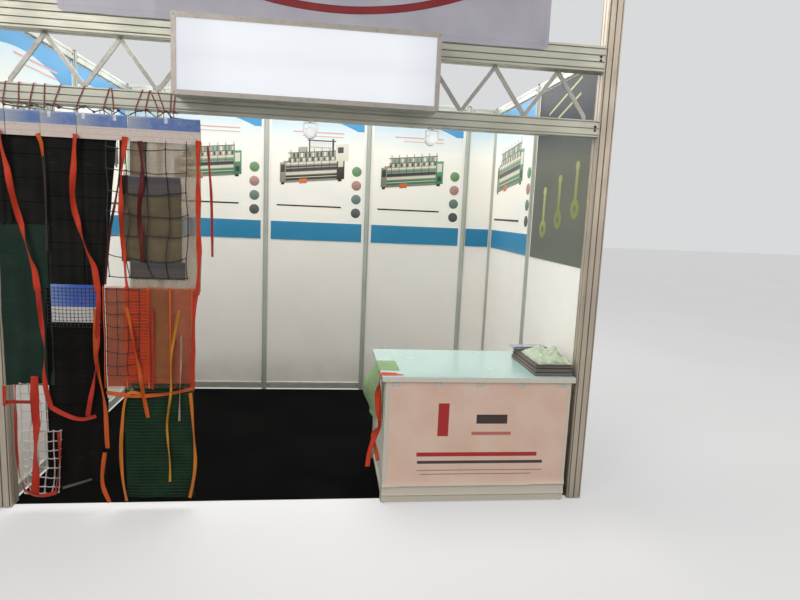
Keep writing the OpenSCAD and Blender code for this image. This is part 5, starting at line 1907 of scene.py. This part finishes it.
    def loop(self, across: float, head: float, spread: float) -> list[Point]:
        """Lists the points of one cord from a card, leaning up over the chord and back.

        Args:
            across: Where it leaves the card.
            head: Where it passes over the chord.
            spread: How far its tail hangs aside.

        Returns:
            The points.
        """
        x = self.origin + across
        top_x = self.origin + head
        front = self.soft_y - 0.0042
        back = -0.8935
        top = 2.0712
        low = 1.9800
        return [(x + spread, front, 1.936), (x + spread * 0.4, front - 0.001, 1.965), (x, front, low + 0.006),
                ((x + top_x) / 2, front, 2.024), (top_x, front, top - 0.004), (top_x, front + 0.006, top),
                (top_x, -0.936, top), (top_x, back - 0.006, top), (top_x, back, top - 0.006),
                ((x + top_x) / 2, back, 2.02), (x + 0.004, back, low + 0.004), (x + 0.003, back - 0.006, low),
                (x + 0.002, -0.936, low), (x + 0.001, front + 0.006, low),
                (x - 0.002, front - 0.001, low + 0.001)]

    def build_cords(self) -> None:
        """Ties the red cords round the chord and laces the black one."""
        runs = [self.loop(x, head, 0.006 * math.sin(40.0 * x))
                for x, head in zip(self.cord_places, self.cord_heads)]
        loops = add_cords("card_cord_loops", runs, 0.0021)
        knots = add_knots("cord_knot",
                          [(self.origin + x, self.soft_y - 0.0062, 1.974) for x in self.cord_places],
                          (0.0042, 0.0032, 0.0048))
        cords = join("card_cords_tied", [loops, knots])
        report(cords, CordFinish("red_sample_cord", tint(206, 96, 92), tint(150, 54, 52)),
               replaces="card_cords")
        stations = ((62, 1966), (107, 1962), (148, 1959), (180, 1968), (233, 1961), (249, 1980), (296, 1966),
                    (371, 1961), (409, 1982), (451, 1956), (489, 1968), (526, 1944), (559, 1968), (597, 1946),
                    (641, 1970), (685, 1978), (729, 1948), (774, 1978), (796, 1952), (880, 1944))
        points = [(self.origin + across / 1000.0, -0.9832, up / 1000.0) for across, up in stations]
        lacing = add_cords("lacing_run", [points], 0.0027, 2, False)
        ends = points[::3]
        ties = add_knots("lacing_knot", ends, (0.008, 0.004, 0.006))
        black = CordFinish("black_lacing_cord", tint(30, 29, 30), tint(12, 12, 12))
        report(join("lacing_cord_laced", [lacing, ties]), black, replaces="lacing_cord")

    def build_tapes(self) -> None:
        """Hangs the woven tapes along the edges of the cloths and nets."""
        wide = TapeFinish("wide_red_tape", tint(222, 62, 36), tint(168, 38, 24), 0.034)
        red = TapeFinish("middle_red_tape", tint(220, 66, 44), tint(166, 42, 30), 0.020)
        orange = TapeFinish("middle_orange_tape", tint(234, 110, 42), tint(190, 74, 26), 0.019)
        amber = TapeFinish("amber_tape", tint(238, 142, 48), tint(198, 104, 30), 0.016)
        thin = TapeFinish("thin_red_tape", tint(204, 62, 46), tint(150, 40, 32), 0.012)
        piping = TapeFinish("dark_red_piping", tint(104, 30, 30), tint(60, 16, 16), 0.011)
        seam = TapeFinish("brown_edge_tape", tint(70, 56, 42), tint(40, 32, 26), 0.011)
        dim = TapeFinish("dim_red_tape", tint(112, 34, 34), tint(76, 20, 20), 0.024)
        yellow = TapeFinish("yellow_strap", tint(232, 166, 58), tint(190, 126, 36), 0.012)
        pale = TapeFinish("pale_strap", tint(206, 180, 160), tint(150, 120, 100), 0.010)
        grey = TapeFinish("grey_hem_tape", tint(112, 104, 96), tint(70, 64, 60), 0.012)
        y = -0.9972
        tapes = (
            Tape(((39, 1850), (87, 1581), (146, 1303), (168, 1215), (180, 1110)), RIBBON_TAPE, y),
            Tape(((372, 1850), (355, 1547), (400, 1340), (438, 1230), (453, 1110)), RIBBON_TAPE, y),
            Tape(((592, 1850), (567, 1556), (580, 1244), (588, 1130)), RIBBON_TAPE, y, foot_width=0.7),
            Tape(((923, 1850), (922, 1573), (925, 1250), (913, 1110)), RIBBON_TAPE, y),
            Tape(((966, 1826), (983, 1575), (987, 1300)), thin, y, twist=0.6),
            Tape(((206, 1842), (222, 1800), (226, 1740)), orange, y, None, foot_width=0.35, twist=0.3),
            Tape(((226, 1742), (229, 1560), (226, 1300)), seam, y + 0.004, None, twist=0.2),
            Tape(((572, 1834), (558, 1640), (512, 1400), (486, 1150)), piping, y + 0.001, None, twist=0.4),
            Tape(((655, 1834), (668, 1700), (652, 1500), (660, 1262)), dim, y + 0.0005, None),
            Tape(((180, 1125), (188, 1025), (193, 918), (203, 819), (193, 693), (204, 602), (222, 524)),
                 red, y),
            Tape(((218, 536), (261, 510), (321, 481), (367, 474), (425, 490)), red, y - 0.001, twist=0.5),
            Tape(((453, 1125), (453, 1032), (444, 872), (431, 721), (403, 578), (387, 488)), red, y),
            Tape(((440, 1031), (437, 772), (469, 568), (477, 322)), orange, y - 0.003, twist=0.7),
            Tape(((462, 300), (449, 146), (478, 30)), orange, y),
            Tape(((256, 114), (396, 158)), grey, y, None, twist=0.2),
            Tape(((8, 640), (5, 540)), red, y, None, twist=0.3),
            Tape(((0, 560), (60, 562), (128, 561)), red, y - 0.001, None, twist=0.3),
            Tape(((58, 650), (53, 412), (54, 230), (80, 104)), thin, y),
            Tape(((76, 109), (123, 80), (176, 78), (227, 92)), red, y - 0.001, twist=0.5),
            Tape(((249, 410), (249, 297), (241, 202), (222, 88)), thin, y),
            Tape(((148, 693), (148, 464), (139, 256), (128, 84)), wide, y - 0.003, twist=0.7),
            Tape(((579, 1040), (613, 875), (660, 568), (673, 480)), orange, y),
            Tape(((700, 1038), (702, 830), (698, 628)), thin, y, twist=0.2),
            Tape(((478, 612), (580, 598), (680, 597), (790, 610), (892, 634)), orange, y - 0.001, twist=0.4),
            Tape(((913, 1125), (901, 1042), (894, 829), (888, 622)), red, y, twist=0.7),
            Tape(((829, 1031), (793, 828), (786, 621), (765, 437), (777, 250), (776, 142)), yellow,
                 y - 0.003),
            Tape(((837, 905), (836, 803), (824, 464)), pale, y - 0.0012, None),
            Tape(((640, 606), (574, 596), (546, 411), (542, 199), (562, 40)), amber, y, twist=0.6),
            Tape(((879, 611), (901, 249), (872, 50)), amber, y, twist=0.8),
        )
        for number, tape in enumerate(tapes, 1):
            tape.build(f"tape_{number}", self.origin)


@dataclass
class CounterGoods:
    """What lies on the counter: sample books, a heap of netting, a folded bag, a cloth and tapes."""

    top_z: float = 0.7052
    books_right: float = 1.440
    book_size: tuple[float, float] = (0.214, 0.430)
    book_y: float = -0.9605
    book_height: float = 0.0200
    book_step: float = 0.0202
    bag_middle: Point = (1.3175, -0.5855, 0.7810)
    bag_size: Point = (0.232, 0.078, 0.016)
    swell_steps: int = 12
    swell_limit: float = 0.006

    def build(self) -> None:
        """Builds the goods."""
        self.build_books()
        self.build_heap()
        self.build_bag()
        self.build_cloth()
        self.build_tapes()

    def build_books(self) -> None:
        """Builds three sample books with covers and uneven leaves."""
        cover = PanelFinish("book_cover_card", tint(58, 54, 52), tint(90, 84, 78), 0.4, 0.0, 0.3)
        leaves = (PanelFinish("leaf_cloth_rose", tint(150, 116, 104), tint(108, 82, 74), 0.8),
                  PanelFinish("leaf_cloth_grey", tint(178, 184, 180), tint(130, 136, 134), 0.8),
                  PanelFinish("leaf_cloth_brown", tint(112, 96, 84), tint(80, 66, 56), 0.8))
        for book in range(3):
            low = self.top_z + book * self.book_step
            right = self.books_right - 0.001
            left = right - self.book_size[0] + book * 0.004 + 0.001
            front = self.book_y + book * 0.005
            back = front + self.book_size[1] - book * 0.010
            parts = []
            for edge in (0.0, self.book_height - 0.0022):
                part = add_block("cover", (left, front, low + edge), (right, back, low + edge + 0.0020),
                                 0.0006)
                parts.append(wear(part, cover))
            for leaf in range(9):
                z = low + 0.0021 + leaf * 0.00172
                jitter = ripple((leaf * 3.1, book * 2.3, 0.0), 1.3)
                part = add_block("leaf",
                                 (left + 0.001 - 0.016 * abs(jitter), front + 0.002 + 0.010 * jitter, z),
                                 (right - 0.003, back - 0.005 + 0.01 * jitter, z + 0.0015), 0.0004, 1)
                parts.append(wear(part, leaves[(leaf + book) % 3]))
            whole = join(f"sample_book_{book + 1}", parts)
            report(whole, replaces="catalogues")

    def build_heap(self) -> None:
        """Builds the heap of pale green netting on the books."""
        net = ClothFinish("pale_green_netting", tint(214, 228, 200), tint(238, 242, 224), 0.004, 0.1, 0.001,
                          0.16,
                          seam_and_gap_shade_colour=tint(150, 172, 132))

        def point(across: float, up: float) -> Point:
            """Places a point of the crumpled heap."""
            x = 1.246 + across * 0.192
            y = -0.946 + up * 0.308
            dome = (math.sin(math.pi * across) ** 0.45) * (math.sin(math.pi * up) ** 0.4)
            crumple = 0.40 * abs(ripple((x, y, 0.0), 22.0, 3.0)) + 0.22 * ripple((x, y, 0.4), 48.0, 1.0)
            ridge = (0.55 + 0.30 * math.sin(5.0 * math.pi * across + 6.0 * up)
                     * math.sin(11.0 * up + 4.0 * across))
            z = self.top_z + 0.0612 + 0.074 * max(0.0, dome * (ridge + crumple))
            return (x + 0.010 * ripple((x, y, 2.0), 24.0), y + 0.010 * ripple((x, y, 5.0), 24.0), z)

        heap = add_sheet("netting_heap", 80, 130, point, (0.21, 0.35), 0.0012)
        report(heap, net, replaces="counter_cloth")

    def build_bag(self) -> None:
        """Builds the folded clear bag behind the heap and lets its air swell it."""
        clear_selection()
        bpy.ops.mesh.primitive_cube_add(size=1.0, location=self.bag_middle, scale=self.bag_size)
        bag = settle(bpy.context.active_object)
        bag.name = "folded_bag"
        bpy.ops.object.mode_set(mode="EDIT")
        bpy.ops.mesh.select_all(action="SELECT")
        bpy.ops.mesh.subdivide(number_cuts=14)
        bpy.ops.object.mode_set(mode="OBJECT")
        for vertex in bag.data.vertices:
            x, y, z = vertex.co
            pinch = 1.0 - 0.7 * abs((x - self.bag_middle[0]) / 0.116) ** 6
            level = self.bag_middle[2]
            vertex.co.z = level + (z - level) * pinch + 0.0016 * ripple((x, y, z), 30.0, 2.0)
        self.swell(bag)
        smooth(bag, 70.0)
        report(bag, ClearFinish("bag_film", tint(150, 162, 172), 0.8, 36.0, 0.14),
               replaces="counter_cloth")
        rims = [[(x, -0.6235 + 0.004 * ripple((x, i, 0.0), 9.0), z + 0.002 * ripple((x, i, 1.0), 12.0))
                 for x in (1.206, 1.24, 1.28, 1.32, 1.36, 1.40, 1.430)]
                for i, z in enumerate((0.7735, 0.7885))]
        black = CordFinish("bag_rim_cord", tint(34, 34, 38), tint(14, 14, 16))
        report(add_cords("bag_rims", rims, 0.0018), black, replaces="counter_cloth")

    def swell(self, bag: bpy.types.Object) -> None:
        """Runs a short cloth simulation with air in the bag, capped, and applies it.

        Args:
            bag: The closed bag, as modelled.
        """
        start = [vertex.co.copy() for vertex in bag.data.vertices]
        take(bag)
        cloth = bag.modifiers.new("Cloth", "CLOTH")
        cloth.settings.use_pressure = True
        cloth.settings.uniform_pressure_force = 2.5
        cloth.settings.effector_weights.gravity = 0.0
        cloth.settings.quality = 5
        cloth.collision_settings.use_collision = False
        for step in range(1, self.swell_steps + 1):
            bpy.context.scene.frame_set(step)
        shape = bag.evaluated_get(bpy.context.evaluated_depsgraph_get())
        moved = [vertex.co.copy() for vertex in shape.data.vertices]
        bag.modifiers.remove(cloth)
        bpy.context.scene.frame_set(1)
        for vertex, first, last in zip(bag.data.vertices, start, moved):
            step = last - first
            if step.length > self.swell_limit:
                step *= self.swell_limit / step.length
            vertex.co = first + step
            vertex.co.z = max(vertex.co.z, self.top_z + 0.0612)

    def build_cloth(self) -> None:
        """Builds the pale green cloth that lies on the top and hangs over its left end."""
        cloth = ClothFinish("pale_green_cloth", tint(150, 184, 128), tint(196, 214, 172), 0.0036, 0.1,
                            0.0008, 0.12)
        edge_x = 0.3838
        drop = 0.302
        reach = 0.108

        def point(across: float, up: float) -> Point:
            """Places a point of the cloth, from its foot up over the edge."""
            run = up * (drop + reach)
            y = -0.872 + across * 0.209
            if run < drop:
                free = 1.0 - run / drop
                bulge = 0.060 * math.sin(math.pi * min(1.0, free * 1.05)) ** 1.5 + 0.024 * free
                bulge *= 0.10 + 0.90 * across
                x = edge_x - 0.001 - bulge - 0.006 * free * (0.5 + 0.5 * math.sin(18.0 * across + 3.0 * free))
                z = self.top_z + 0.0002 - (drop - run) + 0.012 * free * ripple((y, 0.0, 0.0), 18.0)
                y += 0.014 * free * ripple((y, z, 0.0), 8.0)
            else:
                x = edge_x + (run - drop)
                z = (self.top_z + 0.0006
                     + 0.004 * abs(ripple((x, y, 0.0), 22.0)) * min(1.0, (run - drop) / 0.03))
            return (x, y, z)

        piece = add_sheet("counter_cloth_draped", 40, 84, point, (0.209, drop + reach), 0.0008)
        report(piece, cloth, replaces="counter_cloth")

    def build_tapes(self) -> None:
        """Builds the two tapes that lie on the top, fold over its left end and turn as they hang."""
        red = ((500, -962, 706), (440, -961, 707), (390, -962, 707.5), (380, -963, 699), (372, -966, 655),
               (364, -968, 600), (370, -970, 529), (383, -972, 429), (353, -970, 345), (336, -968, 278),
               (328, -966, 196))
        orange = ((470, -932, 706), (430, -931, 707), (390, -932, 707.5), (379, -934, 699), (376, -940, 640),
                  (382, -950, 534), (384, -962, 429), (367, -962, 401), (352, -960, 362), (371, -958, 289),
                  (384, -956, 224))
        for name, stations, finish in (("counter_tape_red", red, RIBBON_TAPE),
                                       ("counter_tape_orange", orange, ORANGE_TAPE)):
            route = Route([Vector(place) / 1000.0 for place in stations])
            width = finish.width
            fold = math.dist(route.points[0], route.points[2]) / route.whole

            def point(across: float, up: float, route: Route = route, width: float = width,
                      fold: float = fold) -> Point:
                """Places a point of the tape, from its head on the top down to its foot."""
                share = 1.0 - up
                here = route.at(share)
                run = (route.at(min(share + 0.006, 1.0)) - route.at(max(share - 0.006, 0.0))).normalized()
                free = min(max((share - fold - 0.05) / 0.22, 0.0), 1.0)
                turn = math.pi / 2 * (1.0 - free) + 0.7 * free * math.sin(13.0 * share)
                side = Vector((math.cos(turn), math.sin(turn), 0.0))
                side = (side - run * side.dot(run)).normalized()
                return tuple(here + side * (across - 0.5) * width)

            piece = add_sheet(name, 6, 90, point, (width, route.whole), 0.0008)
            report(piece, finish, replaces="counter_ribbons")


@dataclass
class Studio:
    """The pale floor, the soft lamps and the camera of the photograph."""

    place: Point = (0.0685, -4.0462, 1.5574)
    yaw: float = 0.1281
    pitch: float = 0.1444
    roll: float = 0.0439
    lens: float = 27.21

    def build(self) -> None:
        """Builds the studio."""
        self.build_camera()
        self.build_floor()
        self.build_lamps()

    def build_camera(self) -> None:
        """Places the camera where the photographer stood."""
        forward = Vector((math.sin(self.yaw) * math.cos(self.pitch),
                          math.cos(self.yaw) * math.cos(self.pitch),
                          -math.sin(self.pitch)))
        right = Vector((math.cos(self.yaw), -math.sin(self.yaw), 0.0))
        up = right.cross(forward)
        image_right = right * math.cos(self.roll) + up * math.sin(self.roll)
        image_up = up * math.cos(self.roll) - right * math.sin(self.roll)
        lens = bpy.data.cameras.new("camera")
        lens.lens = self.lens
        lens.sensor_width = 36.0
        lens.clip_end = 100.0
        camera = bpy.data.objects.new("camera", lens)
        bpy.context.scene.collection.objects.link(camera)
        turn = Matrix((image_right, image_up, -forward)).transposed().to_4x4()
        camera.matrix_world = Matrix.Translation(self.place) @ turn
        bpy.context.scene.camera = camera

    def build_floor(self) -> None:
        """Lays the pale floor, white to the camera beyond the booth's shadow."""
        clear_selection()
        bpy.ops.mesh.primitive_plane_add(size=60.0, location=(0.0, 0.0, -0.0005))
        floor = settle(bpy.context.active_object)
        floor.name = "studio_floor"
        material, board, shader = start_material("studio_floor_paint", Roughness=0.7)
        cloudy = board.span(board.noise(board.place(), 0.6, 2.0), 0.3, 0.7)
        board.feed(shader.inputs["Base Color"], board.blend(cloudy, tint(158, 157, 155), tint(164, 163, 162)))
        path = board.put("ShaderNodeLightPath")
        seen = board.math("MAXIMUM", path.outputs["Is Camera Ray"], path.outputs["Is Glossy Ray"])
        board.feed(shader.inputs["Emission Color"],
                   board.blend(seen, (0.0, 0.0, 0.0, 1.0), (0.44, 0.44, 0.44, 1.0)))
        shader.inputs["Emission Strength"].default_value = 1.0
        floor.data.materials.append(material)

    def build_lamps(self) -> None:
        """Hangs the soft lamps and sets the plain world."""
        bpy.context.scene.view_settings.view_transform = "Standard"
        world = bpy.data.worlds.new("studio_world")
        bpy.context.scene.world = world
        world.use_nodes = True
        board = Board(world.node_tree)
        light = world.node_tree.nodes["Background"]
        board.feed(light.inputs["Color"], (0.93, 0.95, 1.0, 1.0))
        light.inputs["Strength"].default_value = 0.34
        seen = board.put("ShaderNodeBackground", {"Color": (0.69, 0.70, 0.71, 1.0), "Strength": 1.0})
        path = board.put("ShaderNodeLightPath")
        any_view = board.math("MAXIMUM", path.outputs["Is Camera Ray"], path.outputs["Is Glossy Ray"])
        any_view = board.math("MAXIMUM", any_view, path.outputs["Is Transmission Ray"])
        choice = board.put("ShaderNodeMixShader")
        board.feed(choice.inputs[0], any_view)
        board.feed(choice.inputs[1], light.outputs[0])
        board.feed(choice.inputs[2], seen.outputs[0])
        board.feed(world.node_tree.nodes["World Output"].inputs["Surface"], choice.outputs[0])
        for name, place, aim, size, power in (("key", (-3.2, -5.0, 4.6), (0.0, 0.0, 1.2), 3.0, 116.0),
                                              ("fill", (4.2, -4.0, 3.2), (0.2, 0.0, 1.0), 3.5, 54.0),
                                              ("inner", (0.0, 0.25, 4.0), (0.0, 0.2, 0.0), 2.6, 134.0),
                                              ("back", (-1.0, 5.6, 3.6), (0.0, 0.5, 1.2), 4.0, 95.0)):
            lamp = bpy.data.lights.new(name, "AREA")
            lamp.size = size
            lamp.energy = power
            lamp.color = (1.0, 0.98, 0.95)
            holder = bpy.data.objects.new(f"lamp_{name}", lamp)
            bpy.context.scene.collection.objects.link(holder)
            holder.location = place
            holder.rotation_euler = (Vector(aim) - Vector(place)).to_track_quat("-Z", "Y").to_euler()


def main() -> None:
    """Builds the booth in order."""
    logging.basicConfig(level=logging.INFO, format="%(name)s: %(message)s")
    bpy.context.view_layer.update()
    for assembly in (Studio(), Girder(), HeaderBanner(), LightBoxSign(), Walls(), Posters(), Carpet(),
                     Counter(),
                     Spotlights(), HungSamples(), CounterGoods()):
        assembly.build()
        LOG.info("%s is built", type(assembly).__name__)


if __name__ == "__main__":
    main()
